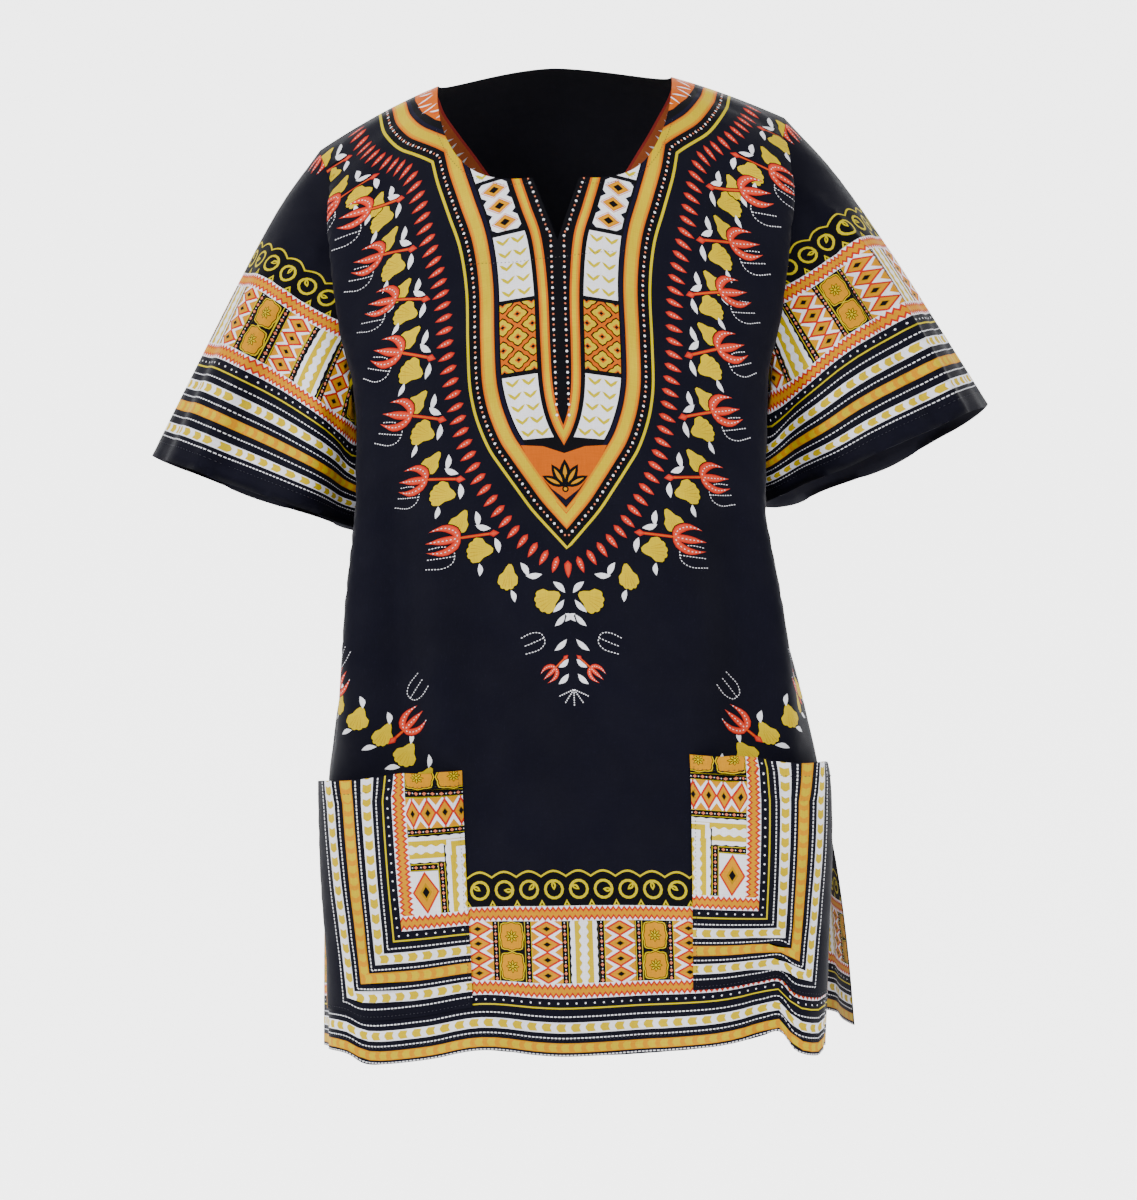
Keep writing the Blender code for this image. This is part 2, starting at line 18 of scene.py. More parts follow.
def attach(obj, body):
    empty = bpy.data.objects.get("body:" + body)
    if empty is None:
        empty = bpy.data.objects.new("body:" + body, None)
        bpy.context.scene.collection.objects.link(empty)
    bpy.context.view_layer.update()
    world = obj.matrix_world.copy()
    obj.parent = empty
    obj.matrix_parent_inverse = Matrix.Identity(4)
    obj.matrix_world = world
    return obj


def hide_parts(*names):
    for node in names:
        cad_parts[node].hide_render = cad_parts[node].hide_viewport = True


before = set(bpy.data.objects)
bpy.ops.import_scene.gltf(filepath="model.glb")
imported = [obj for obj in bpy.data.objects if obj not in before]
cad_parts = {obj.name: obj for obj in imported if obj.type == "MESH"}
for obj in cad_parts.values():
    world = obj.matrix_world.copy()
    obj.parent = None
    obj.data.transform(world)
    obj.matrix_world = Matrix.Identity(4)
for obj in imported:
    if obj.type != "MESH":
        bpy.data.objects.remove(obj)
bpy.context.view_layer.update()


def metres(*rows):
    """A table written in millimetres."""
    return np.array(rows) / 1000


# The cloth's sections and largest folds, as in the solids
SECTION_COLUMNS = (
    "down", "mid_x", "mid_y", "mid_z", "turn_y", "edge_y",
    "left_turn_x", "left_edge_x", "left_edge_z",
    "right_turn_x", "right_edge_x", "right_edge_z")

FRONT_SECTIONS = metres(
    (  0, -11,    0,   16,   0,   0, -165, -199,  -58, 142, 173,  -32),
    ( 25, -11,  -25,   13, -22, -20, -180, -196,  -66, 160, 172,  -41),
    ( 50, -11,  -47,    4, -42, -36, -188, -188,  -87, 173, 167,  -64),
    (100, -11,  -79,  -30, -64, -51, -189, -172, -135, 177, 158, -113),
    (150, -10,  -99,  -75, -77, -56, -186, -161, -184, 173, 150, -163),
    (200,  -9, -111, -123, -84, -50, -180, -155, -233, 167, 146, -214),
    (275,  -7, -120, -197, -86,   0, -168, -152, -306, 156, 144, -296),
    (360,  -4, -125, -282, -84,   0, -160, -149, -372, 153, 143, -362),
    (420,  -2, -127, -342, -80,   0, -164, -158, -415, 158, 152, -407),
    (480,   0, -128, -402, -74,   0, -173, -172, -462, 171, 169, -455),
    (560,   4, -128, -482, -66,   0, -184, -187, -525, 188, 188, -520),
    (620,   6, -127, -543, -60,   0, -188, -192, -566, 197, 200, -562),
    (700,   9, -126, -623, -58,  -4, -190, -195, -643, 202, 206, -640),
    (770,  12, -125, -693, -58,  -8, -188, -195, -710, 202, 207, -708),
    (840,  14, -124, -763, -58, -10, -188, -195, -774, 200, 205, -774))

BACK_SECTIONS = metres(
    (  0, -11,   0,   16,  0,  0, -165, -199,  -58, 142, 173,  -32),
    ( 25, -11,  25,   13, 22, 20, -180, -196,  -66, 160, 172,  -41),
    ( 50, -11,  46,    5, 40, 34, -188, -188,  -87, 173, 167,  -64),
    (100, -10,  79,  -28, 60, 48, -189, -172, -135, 177, 158, -113),
    (150,  -9,  98,  -73, 72, 53, -186, -161, -184, 173, 150, -163),
    (200,  -8, 107, -121, 78, 47, -180, -155, -233, 167, 146, -214),
    (275,  -6, 114, -195, 80,  0, -168, -152, -306, 156, 144, -296),
    (360,  -4, 116, -280, 78,  0, -160, -149, -372, 153, 143, -362),
    (420,  -2, 116, -340, 74,  0, -164, -158, -415, 158, 152, -407),
    (480,   0, 115, -400, 70,  0, -173, -172, -462, 171, 169, -455),
    (560,   3, 114, -480, 64,  0, -184, -187, -525, 188, 188, -520),
    (620,   5, 114, -541, 60,  0, -188, -192, -566, 198, 200, -562),
    (700,   7, 115, -621, 60, 10, -190, -193, -643, 212, 216, -634),
    (770,   9, 116, -691, 62, 20, -191, -193, -710, 218, 225, -700),
    (840,  10, 117, -761, 64, 26, -192, -193, -772, 222, 231, -765))

SLEEVE_COLUMNS = ("along", "top_x", "top_z", "low_x", "low_z", "fore", "aft", "lean", "dip")

LEFT_SLEEVE_SECTIONS = np.array((
    (0.00, -0.199, -0.058, -0.152, -0.306, 0.056, 0.053, 0.000, 0.000),
    (0.22, -0.229, -0.099, -0.159, -0.320, 0.068, 0.064, 0.004, 0.000),
    (0.48, -0.264, -0.163, -0.158, -0.334, 0.075, 0.070, 0.008, 0.000),
    (0.75, -0.301, -0.236, -0.161, -0.348, 0.076, 0.074, 0.010, 0.002),
    (1.00, -0.334, -0.302, -0.163, -0.362, 0.076, 0.078, 0.010, 0.004)))

RIGHT_SLEEVE_SECTIONS = np.array((
    (0.00, 0.173, -0.032, 0.144, -0.296, 0.056, 0.053, 0.000, 0.000),
    (0.22, 0.210, -0.071, 0.147, -0.308, 0.068, 0.064, 0.006, 0.000),
    (0.48, 0.254, -0.131, 0.150, -0.318, 0.074, 0.072, 0.012, 0.003),
    (0.75, 0.299, -0.199, 0.153, -0.329, 0.075, 0.079, 0.018, 0.008),
    (1.00, 0.338, -0.260, 0.156, -0.340, 0.075, 0.084, 0.022, 0.014)))

# Folds: from (across, down) to (across, down), half width, rise
FRONT_FOLDS = metres(
    (-136, 320, -131, 640, 17,  -10),
    (-104, 370,  -98, 700, 20,    9),
    ( -74, 480,  -78, 720, 16, -4.5),
    (-172, 300, -170, 640, 18,    7),
    (-205, 330, -215, 620, 18,   -7),
    ( 128, 320,  132, 620, 20,   -9),
    ( 158, 400,  164, 640, 17,    8),
    (  98, 360,   94, 680, 20,  5.5),
    ( 190, 330,  198, 620, 18,   -7),
    ( -20, 620,  -30, 900, 30,    4),
    (  45, 660,   50, 900, 26,   -4),
    (-125,  60, -160, 240, 18,   -5),
    ( 124,  70,  150, 230, 18,   -5))

BACK_FOLDS = metres(
    (-200, 330, -210, 620, 18, -7),
    (-150, 260, -135, 700, 22, 10),
    (-100, 300,  -90, 900, 22, -8),
    ( -48, 280,  -40, 900, 24,  8),
    (   8, 320,   12, 900, 22, -7),
    (  60, 280,   60, 900, 24,  9),
    ( 112, 320,  106, 900, 22, -8),
    ( 155, 270,  150, 720, 20,  8),
    ( 192, 330,  205, 620, 18, -7),
    (-150,  80,  -60, 190, 18, -5),
    ( 138,  80,   55, 190, 18, -5))

SLEEVE_FOLDS = metres(
    (  60, 20,   80, 330, 18,  5),
    ( 120, 30,  130, 330, 17, -6),
    ( 160, 30,  172, 330, 17, 10),
    ( 205, 30,  215, 330, 17, -8),
    ( -70, 30,  -80, 330, 18,  6),
    (-115, 30, -125, 330, 17, -7),
    (-165, 30, -175, 330, 17,  8),
    (-212, 30, -220, 330, 17, -6))

# Finer creases, in the same columns
FRONT_CREASES = metres(
    (-205, 235, -120, 330,  7, -1.6),
    (-215, 262, -135, 420,  8,  1.8),
    (-190, 210, -110, 245,  7,  1.2),
    ( 208, 225,  128, 335,  7, -1.6),
    ( 218, 250,  142, 430,  8,  1.9),
    ( 190, 200,  115, 240,  7,  1.2),
    ( -85, 560, -112, 640,  6, -1.4),
    ( 105, 590,  122, 650,  7,  1.6),
    (  88, 470,  100, 600,  8, -1.4),
    ( -88, 735,  -40, 770,  9,  1.2),
    (-120, 790, -105, 880,  8,  2.2),
    (-180, 800, -170, 880, 10, -2.2),
    ( -60, 800,  -62, 880, 12, -1.6),
    (  60, 795,   62, 880, 10,  1.8),
    ( 132, 780,  135, 880,  7,   -3),
    ( 175, 790,  172, 880, 10,  2.4),
    ( -20, 240,  -30, 420, 12,  0.7),
    (  34, 250,   30, 400, 12, -0.7))
BACK_CREASES = metres(
    (-205, 235, -110, 330,  8, -1.6),
    ( 208, 240,  115, 325,  8, -1.6),
    (-180, 205,  -90, 225,  8,  1.2),
    ( 180, 205,   85, 230,  8,  1.2),
    (-120, 420, -126, 640,  8,  1.8),
    ( -20, 440,  -24, 700,  8,  1.6),
    (  85, 400,   82, 690,  8, -1.6),
    ( 180, 620,  190, 880, 10,  2.4),
    (-165, 700, -160, 880, 10, -2.2),
    ( -70, 760,  -66, 880,  9,    2),
    (  35, 770,   38, 880,  9,  1.8),
    ( 130, 760,  134, 880,  9,   -2))
LEFT_SLEEVE_CREASES = metres(
    (  86,  30,   94, 330, 6.5,  6.5),
    ( 104,  60,  113, 340, 8.5, -9.5),
    (  34, 100,   44, 330,  12,   -3),
    (  60, 140,   66, 340,  10,  2.4),
    ( -60,  20,  -75, 290,   7,    2),
    (-140,  20, -150, 200,   9, -2.2),
    ( 190,  10,  180, 140,   8,    2))
RIGHT_SLEEVE_CREASES = metres(
    (  62, 10,   72, 330,   6,  5.5),
    (  80, 40,   94, 340, 8.5, -7.5),
    (  20, 60,   26, 330,  12, -2.6),
    ( 120, 60,  132, 300,   9,  3.4),
    ( -65, 20,  -80, 290,   7,    2),
    (-150, 20, -160, 200,   9, -2.2))
# On a pocket, across from its inner edge and down from its mouth
POCKET_CREASES = metres(
    ( 20, -80,  45, 120, 11,    3),
    ( 62, -90,  72, 110,  9, -2.8),
    (100, -80,  94, 130, 11,    3),
    ( 20, 150, 110, 120,  9,    2))

# How far the hem stands above (+) or below the level line, across the panel
FRONT_HEM = metres((-280, 2), (-200, 1), (-172, -8.5), (-127, -6), (-82, 1), (-38, -3.2), (-10, -4.6),
                   (34, -2.2), (98, 4), (134, 12.5), (152, 16.5), (166, 1), (190, -2.6), (206, 1), (280, 2))
BACK_HEM = metres((-280, 4), (-190, 3), (-120, 9), (-30, 4), (60, 10), (130, 4), (200, 9), (280, 4))
# The facing's line of sewing, across and down
FACING_SEAM = metres((-71, 222.5), (-38, 230.5), (-18, 231.8), (3, 231), (27, 225.5), (53.5, 218.5))

# Sizes of the cut and of how it is worn, in metres
SLEEVE_HALF_GIRTH = 0.27  # half the cuff, laid flat
POCKET_WIDTH = 0.145
HEM_SAG_FROM = 0.70       # down the cloth, where the hem's line begins to show
WALL = 0.0009             # the cloth with its threads, thinner than the solid's wall
SEAM_GAP = 0.0003         # clear space where two pieces meet
SEAM_REACH = 1e-5         # points this near an edge are on its seam
SHOULDER_SEAM_FROM = 0.085
ARMHOLE_DOWN = 0.275      # shoulder line to underarm, measured down the cloth
HEM_DOWN = 0.840          # shoulder line to the hem
SQUARENESS = 2.5          # 2 makes the chest an ellipse, more makes it flatter
SLOPE_POWER = 1.7         # how late a section drops on its way to the edge
NECK_HALF_WIDTH = 0.093
NECK_DEPTH = 0.166
NECK_ROUND = 3.0
SLIT_HALF_WIDTH = 0.018
SLIT_DEPTH = 0.218
BACK_NECK_DEPTH = 0.030
FOLD_FADE = 0.7           # below 1 a fold keeps its height nearly to its ends
FOLD_EDGE = 0.02          # folds die out over this width beside a seam
CREASE_EDGE = 0.008
SLEEVE_CREASE_EDGE = 0.01
SLEEVE_CREASE_FROM = 0.12  # share of the way down a sleeve where its creases are full
NORMAL_STEP = 0.0015      # how far apart a normal's neighbours lie on the cloth
POCKET_INNER = 0.31       # a pocket's sides, as shares of the front's half width
POCKET_OUTER = 0.82
POCKET_TOP = 0.622        # its mouth and foot, measured down the front
POCKET_BOTTOM = 0.806
POCKET_HEIGHT = POCKET_BOTTOM - POCKET_TOP
RIGHT_POCKET_RAISE = 0.012
POCKET_FULLNESS = 0.026   # how far its middle stands off the front
POCKET_FADE = 1.5         # above 1 the fullness lasts longer on the way down
ARMHOLE_INFLUENCE = 0.45  # share of a sleeve that the armhole's line shapes
CURVE_STEPS = 60
SLEEVE_CLEARANCE = 0.0036  # least space between a sleeve and the body beside it
CLEARANCE_REACH = 0.016
CLEARANCE_PASSES = 3
CLEARANCE_DOWN = 0.103    # where down the armhole the body begins to hold them off
RING_SPREAD = 1.25        # above 1 a sleeve's rings stand closer near the armhole
TABLE_ROWS = 421          # rows of the table that a panel's surface is read from
TABLE_SHARES = 241


def smooth(knots, values, at):
    """A smooth curve through a column's values that never overshoots them."""
    steps = np.diff(values) / np.diff(knots)
    before, after = steps[:-1], steps[1:]
    same_way = before * after > 0
    total = np.where(same_way, before + after, 1.0)
    inner = np.where(same_way, 2 * before * after / total, 0.0)
    slopes = np.concatenate([steps[:1], inner, steps[-1:]])
    at = np.clip(at, knots[0], knots[-1])
    span = np.clip(np.searchsorted(knots, at, side="right") - 1, 0, len(knots) - 2)
    width = knots[span + 1] - knots[span]
    part = (at - knots[span]) / width
    rise = part * part * (3 - 2 * part)
    leave = slopes[span] * width * part * (1 - part) ** 2
    arrive = slopes[span + 1] * width * part * part * (1 - part)
    return values[span] * (1 - rise) + values[span + 1] * rise + leave - arrive


def read_columns(sections, names, at):
    """Every column of a table of sections, read at each place along it."""
    return {name: smooth(sections[:, 0], sections[:, i], at) for i, name in enumerate(names)}


def ease(x):
    """0 below 0, 1 above 1, and smooth between."""
    x = np.clip(x, 0.0, 1.0)
    return x * x * (3 - 2 * x)


def between(table, i, j, down_part, across_part):
    """A table of points read between its rows i and columns j."""
    w, u = down_part[:, None], across_part[:, None]
    return ((table[i, j] * (1 - u) + table[i, j + 1] * u) * (1 - w)
            + (table[i + 1, j] * (1 - u) + table[i + 1, j + 1] * u) * w)


def fold_rise(folds, across, down):
    """How far soft ridges and troughs lift the cloth at each (across, down)."""
    rise = np.zeros_like(across)
    for from_across, from_down, to_across, to_down, half_width, height in folds:
        run = np.array([to_across - from_across, to_down - from_down])
        length = np.hypot(*run)
        run = run / length
        along = (across - from_across) * run[0] + (down - from_down) * run[1]
        aside = (across - from_across) * run[1] - (down - from_down) * run[0]
        fade = np.sin(np.pi * np.clip(along / length, 0, 1)) ** FOLD_FADE
        rise += height * fade * np.exp(-(aside / half_width) ** 2)
    return rise


def cross_normals(surface, across, down, outward):
    """Unit normals of a surface function, all on the side that outward mostly points to."""
    run = surface(across + NORMAL_STEP, down) - surface(across - NORMAL_STEP, down)
    drop = surface(across, down + NORMAL_STEP) - surface(across, down - NORMAL_STEP)
    normals = np.cross(run, drop)
    normals /= np.maximum(np.linalg.norm(normals, axis=1, keepdims=True), 1e-12)
    return normals if np.median(np.sum(normals * outward, axis=1)) > 0 else -normals


class Panel:
    """Front or back: the worn surface as a function of the flat cut.

    across runs from the panel's middle and down from the shoulder line."""

    def __init__(self, sections, folds, creases, hem, facing):
        self.folds, self.creases, self.facing = folds, creases, facing
        self.hem = curve(hem, 0.004)
        self.downs = np.linspace(0, HEM_DOWN, TABLE_ROWS)
        read = read_columns(sections, SECTION_COLUMNS, self.downs)
        angle = np.linspace(0, math.pi / 2, CURVE_STEPS)
        over = np.sin(angle) ** (2 / SQUARENESS)
        back = 1 - np.cos(angle) ** (2 / SQUARENESS)
        part = np.linspace(0, 1, CURVE_STEPS)[1:]
        shares = np.linspace(0, 1, TABLE_SHARES)
        self.half = {}
        self.table = {}
        for side in ("left", "right"):
            table = np.zeros((TABLE_ROWS, TABLE_SHARES, 3))
            half = np.zeros(TABLE_ROWS)
            for i in range(TABLE_ROWS):
                mid_x, mid_y, mid_z = read["mid_x"][i], read["mid_y"][i], read["mid_z"][i]
                turn_x, turn_y = read[side + "_turn_x"][i], read["turn_y"][i]
                edge_x, edge_y = read[side + "_edge_x"][i], read["edge_y"][i]
                x = np.concatenate([mid_x + (turn_x - mid_x) * over,
                                    turn_x + (edge_x - turn_x) * part ** 2])
                y = np.concatenate([mid_y + (turn_y - mid_y) * back,
                                    turn_y + (edge_y - turn_y) * part])
                length = run_lengths(np.stack([x, y], axis=1))
                half[i] = length[-1]
                at = shares * half[i]
                table[i, :, 0] = np.interp(at, length, x)
                table[i, :, 1] = np.interp(at, length, y)
                table[i, :, 2] = mid_z + (read[side + "_edge_z"][i] - mid_z) * shares ** SLOPE_POWER
            self.half[side], self.table[side] = half, table

    def half_width(self, down, right):
        """Distance from the middle to the left or right edge."""
        return np.interp(down, self.downs, self.half["right" if right else "left"])

    def form(self, across, down):
        """The panel's surface without folds."""
        points = np.zeros((len(across), 3))
        row = np.clip(down / HEM_DOWN, 0, 1) * (TABLE_ROWS - 1)
        i = np.minimum(row.astype(int), TABLE_ROWS - 2)
        for side, pick in (("left", across < 0), ("right", across >= 0)):
            if not pick.any():
                continue
            half = np.interp(down[pick], self.downs, self.half[side])
            share = np.abs(across[pick]) / half * (TABLE_SHARES - 1)
            j = np.clip(share.astype(int), 0, TABLE_SHARES - 2)
            points[pick] = between(self.table[side], i[pick], j, (row - i)[pick], share - j)
        points[:, 1] += self.facing * SEAM_GAP / 2
        sag = self.hem[:, 0], self.hem[:, 1]
        points[:, 2] += np.interp(across, *sag) * ease((down - HEM_SAG_FROM) / (HEM_DOWN - HEM_SAG_FROM))
        return points

    def edge_at(self, across, down):
        """Distance from the middle to the edge on each point's own side."""
        return np.where(across < 0, self.half_width(down, False), self.half_width(down, True))

    def lift(self, across, down):
        """Height of the folds and creases over the form, none at the seams."""
        from_edge = self.edge_at(across, down) - np.abs(across)
        large = fold_rise(self.folds, across, down) * ease(from_edge / FOLD_EDGE)
        fine = fold_rise(self.creases, across, down) * ease(from_edge / CREASE_EDGE) * ease(down / FOLD_EDGE)
        return large + fine

    def at(self, across, down):
        """The worn surface, folds and creases included."""
        normals = cross_normals(self.form, across, down, self.outward(across, down))
        return self.form(across, down) + normals * self.lift(across, down)[:, None]

    def outward(self, across, down):
        return np.array([0.0, self.facing, 0.25])

    def beside_armhole(self, sign):
        """Points and normals of the panel's outer half, down to below the armhole."""
        down, share = np.meshgrid(np.linspace(CLEARANCE_DOWN, ARMHOLE_DOWN * 1.25, 46),
                                  np.linspace(0.55, 0.999, 40))
        down, share = down.ravel(), share.ravel()
        across = sign * share * self.half_width(down, sign > 0)
        return self.at(across, down), cross_normals(self.at, across, down, self.outward(across, down))

    def seam_normals(self, across, down, normals):
        """Directions of the wall: straight down or in at a seam, clear of its neighbour."""
        at_edge = self.edge_at(across, down) - np.abs(across) < SEAM_REACH
        seam = at_edge | ((down < SEAM_REACH) & (np.abs(across) > SHOULDER_SEAM_FROM))
        turned = normals.copy()
        turned[seam, 1] = 0
        return turned / np.linalg.norm(turned, axis=1, keepdims=True)


def hold_clear(table, body, facing):
    """Move a sleeve's rings off a body panel where they come too near it."""
    for ring in table[1:len(table) * 2 // 3]:
        for _ in range(CLEARANCE_PASSES):
            reach = np.linalg.norm(ring[:, None] - body, axis=2)
            nearest = reach.argmin(axis=1)
            depth = np.sum((ring - body[nearest]) * facing[nearest], axis=1)
            close = (depth < SLEEVE_CLEARANCE) & (reach.min(axis=1) < CLEARANCE_REACH)
            ring += facing[nearest] * ((SLEEVE_CLEARANCE - depth) * close)[:, None]


class Sleeve:
    """A sleeve: across runs round it from the fold over the arm, the front side
    positive, and up runs from the cuff to the armhole."""

    RINGS, ROUND = 61, 241

    def __init__(self, sections, creases, front, back, sign):
        self.creases, self.sign = creases, sign
        along = np.linspace(0, 1, self.RINGS) ** RING_SPREAD
        turn = np.linspace(-math.pi, math.pi, self.ROUND)
        read = read_columns(sections, SLEEVE_COLUMNS, along[:, None])
        over = (1 - np.cos(turn)) / 2
        fore, rear = np.maximum(np.sin(turn), 0), np.maximum(-np.sin(turn), 0)
        x = read["top_x"] + (read["low_x"] - read["top_x"]) * over
        y = read["lean"] - read["fore"] * fore + read["aft"] * rear
        z = read["top_z"] + (read["low_z"] - read["top_z"]) * over - read["dip"] * rear
        table = np.stack([x, y, z], axis=2)
        edge_down = ARMHOLE_DOWN * np.abs(turn) / math.pi
        edges = [panel.form(sign * panel.half_width(edge_down, sign > 0), edge_down)
                 for panel in (front, back)]
        ring = np.where((turn > 0)[:, None], edges[0], edges[1])
        ring[[0, self.ROUND // 2, -1], 1] = 0
        ring[:, 0] += sign * SEAM_GAP
        settle = ease(along / ARMHOLE_INFLUENCE)
        table += (ring - table[0]) * (1 - settle)[:, None, None]
        for panel in (front, back):
            hold_clear(table, *panel.beside_armhole(sign))
        self.table = table
        self.centre = table.mean(axis=1)
        self.girth = np.linalg.norm(np.diff(table, axis=1), axis=2).sum(axis=1)
        self.length = np.linalg.norm(np.diff(table, axis=0), axis=2).sum(axis=0)

    def turn_at(self, across):
        """The column of the table that a distance round the cuff falls on."""
        return (across / SLEEVE_HALF_GIRTH + 1) / 2 * (self.ROUND - 1)

    def reach(self, across):
        """Distance from the cuff up to the armhole."""
        return np.interp(self.turn_at(across), np.arange(self.ROUND), self.length)

    def share(self, across, up):
        """Share of the way from the armhole down to the cuff."""
        return np.clip(1 - up / self.reach(across), 0, 1)

    def ring_at(self, across, up):
        """The row of the table for a point on the flat sleeve."""
        return self.share(across, up) ** (1 / RING_SPREAD) * (self.RINGS - 1)

    def form(self, across, up):
        """The sleeve's surface without folds."""
        row, turn = self.ring_at(across, up), self.turn_at(across)
        i = np.minimum(row.astype(int), self.RINGS - 2)
        j = np.clip(turn.astype(int), 0, self.ROUND - 2)
        return between(self.table, i, j, row - i, turn - j)

    def outward(self, across, up):
        row, rings = self.ring_at(across, up), np.arange(self.RINGS)
        centre = np.stack([np.interp(row, rings, self.centre[:, k]) for k in range(3)], axis=1)
        return self.form(across, up) - centre

    def at(self, across, up):
        """The worn surface, folds and creases included."""
        share = self.share(across, up)
        girth = np.interp(self.ring_at(across, up), np.arange(self.RINGS), self.girth)
        round_it = across * girth / (2 * SLEEVE_HALF_GIRTH)
        down = self.reach(across) * share
        rise = fold_rise(SLEEVE_FOLDS, round_it, down) * np.clip(share / ARMHOLE_INFLUENCE, 0, 1)
        from_seam = SLEEVE_HALF_GIRTH - np.abs(across)
        fine = fold_rise(self.creases, across, down) * ease(share / SLEEVE_CREASE_FROM)
        rise += fine * ease(from_seam / SLEEVE_CREASE_EDGE)
        normals = cross_normals(self.form, across, up, self.outward(across, up))
        return self.form(across, up) + normals * rise[:, None]

    def seam_normals(self, across, up, normals):
        return normals


class Pocket:
    """A pocket on the front: across from its inner edge, down from its mouth."""

    def __init__(self, front, sign):
        self.front, self.sign = front, sign

    def place(self, across, down):
        """The spot on the front that a pocket's point lies over."""
        share = POCKET_INNER + (POCKET_OUTER - POCKET_INNER) * across / POCKET_WIDTH
        front_down = POCKET_TOP + np.clip(down, 0, POCKET_HEIGHT)
        front_down -= RIGHT_POCKET_RAISE if self.sign > 0 else 0.0
        return self.sign * share * self.front.half_width(front_down, self.sign > 0), front_down

    def at(self, across, down):
        """The worn surface: it stands off the front by the pocket's fullness."""
        x, front_down = self.place(across, down)
        base = self.front.at(x, front_down)
        normals = cross_normals(self.front.at, x, front_down, self.front.outward(x, front_down))
        v = np.clip(down / POCKET_HEIGHT, 0, 1)
        bulge = (1 - v ** POCKET_FADE) * np.sin(math.pi * across / POCKET_WIDTH)
        direction = normals + np.array([0.0, -1.0, 0.0]) * np.clip(bulge * 20, 0, 1)[:, None]
        direction /= np.linalg.norm(direction, axis=1, keepdims=True)
        crease = fold_rise(POCKET_CREASES, across, down) * ease(bulge * 4)
        stand_off = SEAM_GAP + WALL + POCKET_FULLNESS * bulge + crease
        return base + direction * stand_off[:, None]

    def outward(self, across, down):
        return np.array([0.0, -1.0, 0.1])

    def seam_normals(self, across, down, normals):
        return normals


# Colours of the print, linear
NAVY = (0.0024, 0.0024, 0.0080)
INK = (0.0012, 0.0012, 0.0030)
INDIGO = (0.004, 0.003, 0.016)
WHITE = (0.86, 0.86, 0.92)
YELLOW = (0.58, 0.41, 0.0)
LIME = (0.54, 0.43, 0.0)
AMBER = (0.60, 0.25, 0.0)
ORANGE = (0.56, 0.105, 0.001)
RED = (0.50, 0.020, 0.008)
CORAL = (0.62, 0.055, 0.022)
PINK = (0.65, 0.17, 0.08)
OCHRE = (0.40, 0.20, 0.0)
MM = 0.001                # motifs are drawn in millimetres

# Measures of the print that return
TOOTH_BAND = 0.0112       # height of the toothed band
TOOTH_PITCH = 0.0042
PANEL_HEIGHT = 0.046      # between a border's two toothed bands
LATTICE_ROWS = 4
SCALLOP_PITCH = 0.019
STRIPE_PITCH = {WHITE: 0.0112, AMBER: 0.0095}
STRIPE_MARK = ((-0.33, -0.36), (0.18, -0.40), (0.36, -0.10), (0.36, 0.12), (0.18, 0.40), (-0.33, 0.36),
               (-0.22, 0))
PETAL_STEP = 3.3          # millimetres between a petal's points
TULIP_PETALS = (((0, 0), (2, 5.5), (9, 9.6), (17, 9.4), (24, 7.6)),
                ((0, 0), (2, -5.5), (9, -9.6), (16, -9.8), (22, -8.6)))
GHOST_BOW = ((24, 8), (10, 9.5), (2, 6), (0, 0), (2, -6), (10, -9.5), (22, -9))


def mirror(points):
    return [(-x, y) for x, y in points]


def run_lengths(path):
    """Distance along a path to each of its points."""
    return np.concatenate([[0], np.cumsum(np.hypot(*np.diff(path, axis=0).T))])


def whole_length(path):
    return float(np.sum(np.hypot(*np.diff(path, axis=0).T)))


def curve(points, step=0.003):
    """A smooth path through points, at equal steps."""
    p = np.array(points, float)
    if len(p) > 2:
        ends = np.vstack([2 * p[0] - p[1], p, 2 * p[-1] - p[-2]])
        parts = []
        for a, b, c, d in zip(ends, ends[1:], ends[2:], ends[3:]):
            u = np.linspace(0, 1, 12, endpoint=False)[:, None]
            parts.append(0.5 * (2 * b + (c - a) * u + (2 * a - 5 * b + 4 * c - d) * u ** 2
                                + (3 * b - a - 3 * c + d) * u ** 3))
        p = np.vstack(parts + [p[-1:]])
    length = run_lengths(p)
    count = max(2, int(round(length[-1] / step)) + 1)
    at = np.linspace(0, length[-1], count)
    return np.stack([np.interp(at, length, p[:, 0]), np.interp(at, length, p[:, 1])], axis=1)


def beside(path, distance):
    """A path moved sideways, to the left of its run in (across, up)."""
    path = np.asarray(path, float)
    runs = np.diff(path, axis=0)
    runs /= np.linalg.norm(runs, axis=1, keepdims=True)
    sides = np.stack([-runs[:, 1], runs[:, 0]], axis=1)
    after = np.vstack([sides, sides[-1:]])
    mean = np.vstack([sides[:1], sides]) + after
    mean /= np.maximum(np.linalg.norm(mean, axis=1, keepdims=True), 1e-9)
    stretch = 1 / np.maximum(np.sum(mean * after, axis=1), 0.4)
    return path + mean * (stretch * distance)[:, None]


def ribbon(path, near, far):
    """The strip between two distances beside a path."""
    return np.vstack([beside(path, near), beside(path, far)[::-1]])


def stations(path, spacing, start=0.0):
    """Points along a path, each with the direction of its run."""
    path = np.asarray(path, float)
    length = run_lengths(path)
    at = np.arange(start, length[-1], spacing)
    ahead, behind = np.minimum(at + 0.002, length[-1]), np.maximum(at - 0.002, 0)
    x, y = (np.interp(at, length, path[:, k]) for k in (0, 1))
    dx, dy = (np.interp(ahead, length, path[:, k]) - np.interp(behind, length, path[:, k]) for k in (0, 1))
    return list(zip(x, y, np.arctan2(dy, dx)))


def spot(x, y, angle=0.0, size=MM):
    """A place on the cloth: turns a motif's own (along, aside) into the cloth's."""
    c, s = math.cos(angle), math.sin(angle)
    return lambda points: [(x + size * (c * u - s * v), y + size * (s * u + c * v)) for u, v in points]


def mirrored(place):
    return lambda points: mirror(place(points))


def pair(draw, canvas, place, *sizes):
    """A motif and its mirror image across the piece's middle."""
    draw(canvas, place, *sizes)
    draw(canvas, mirrored(place), *sizes)


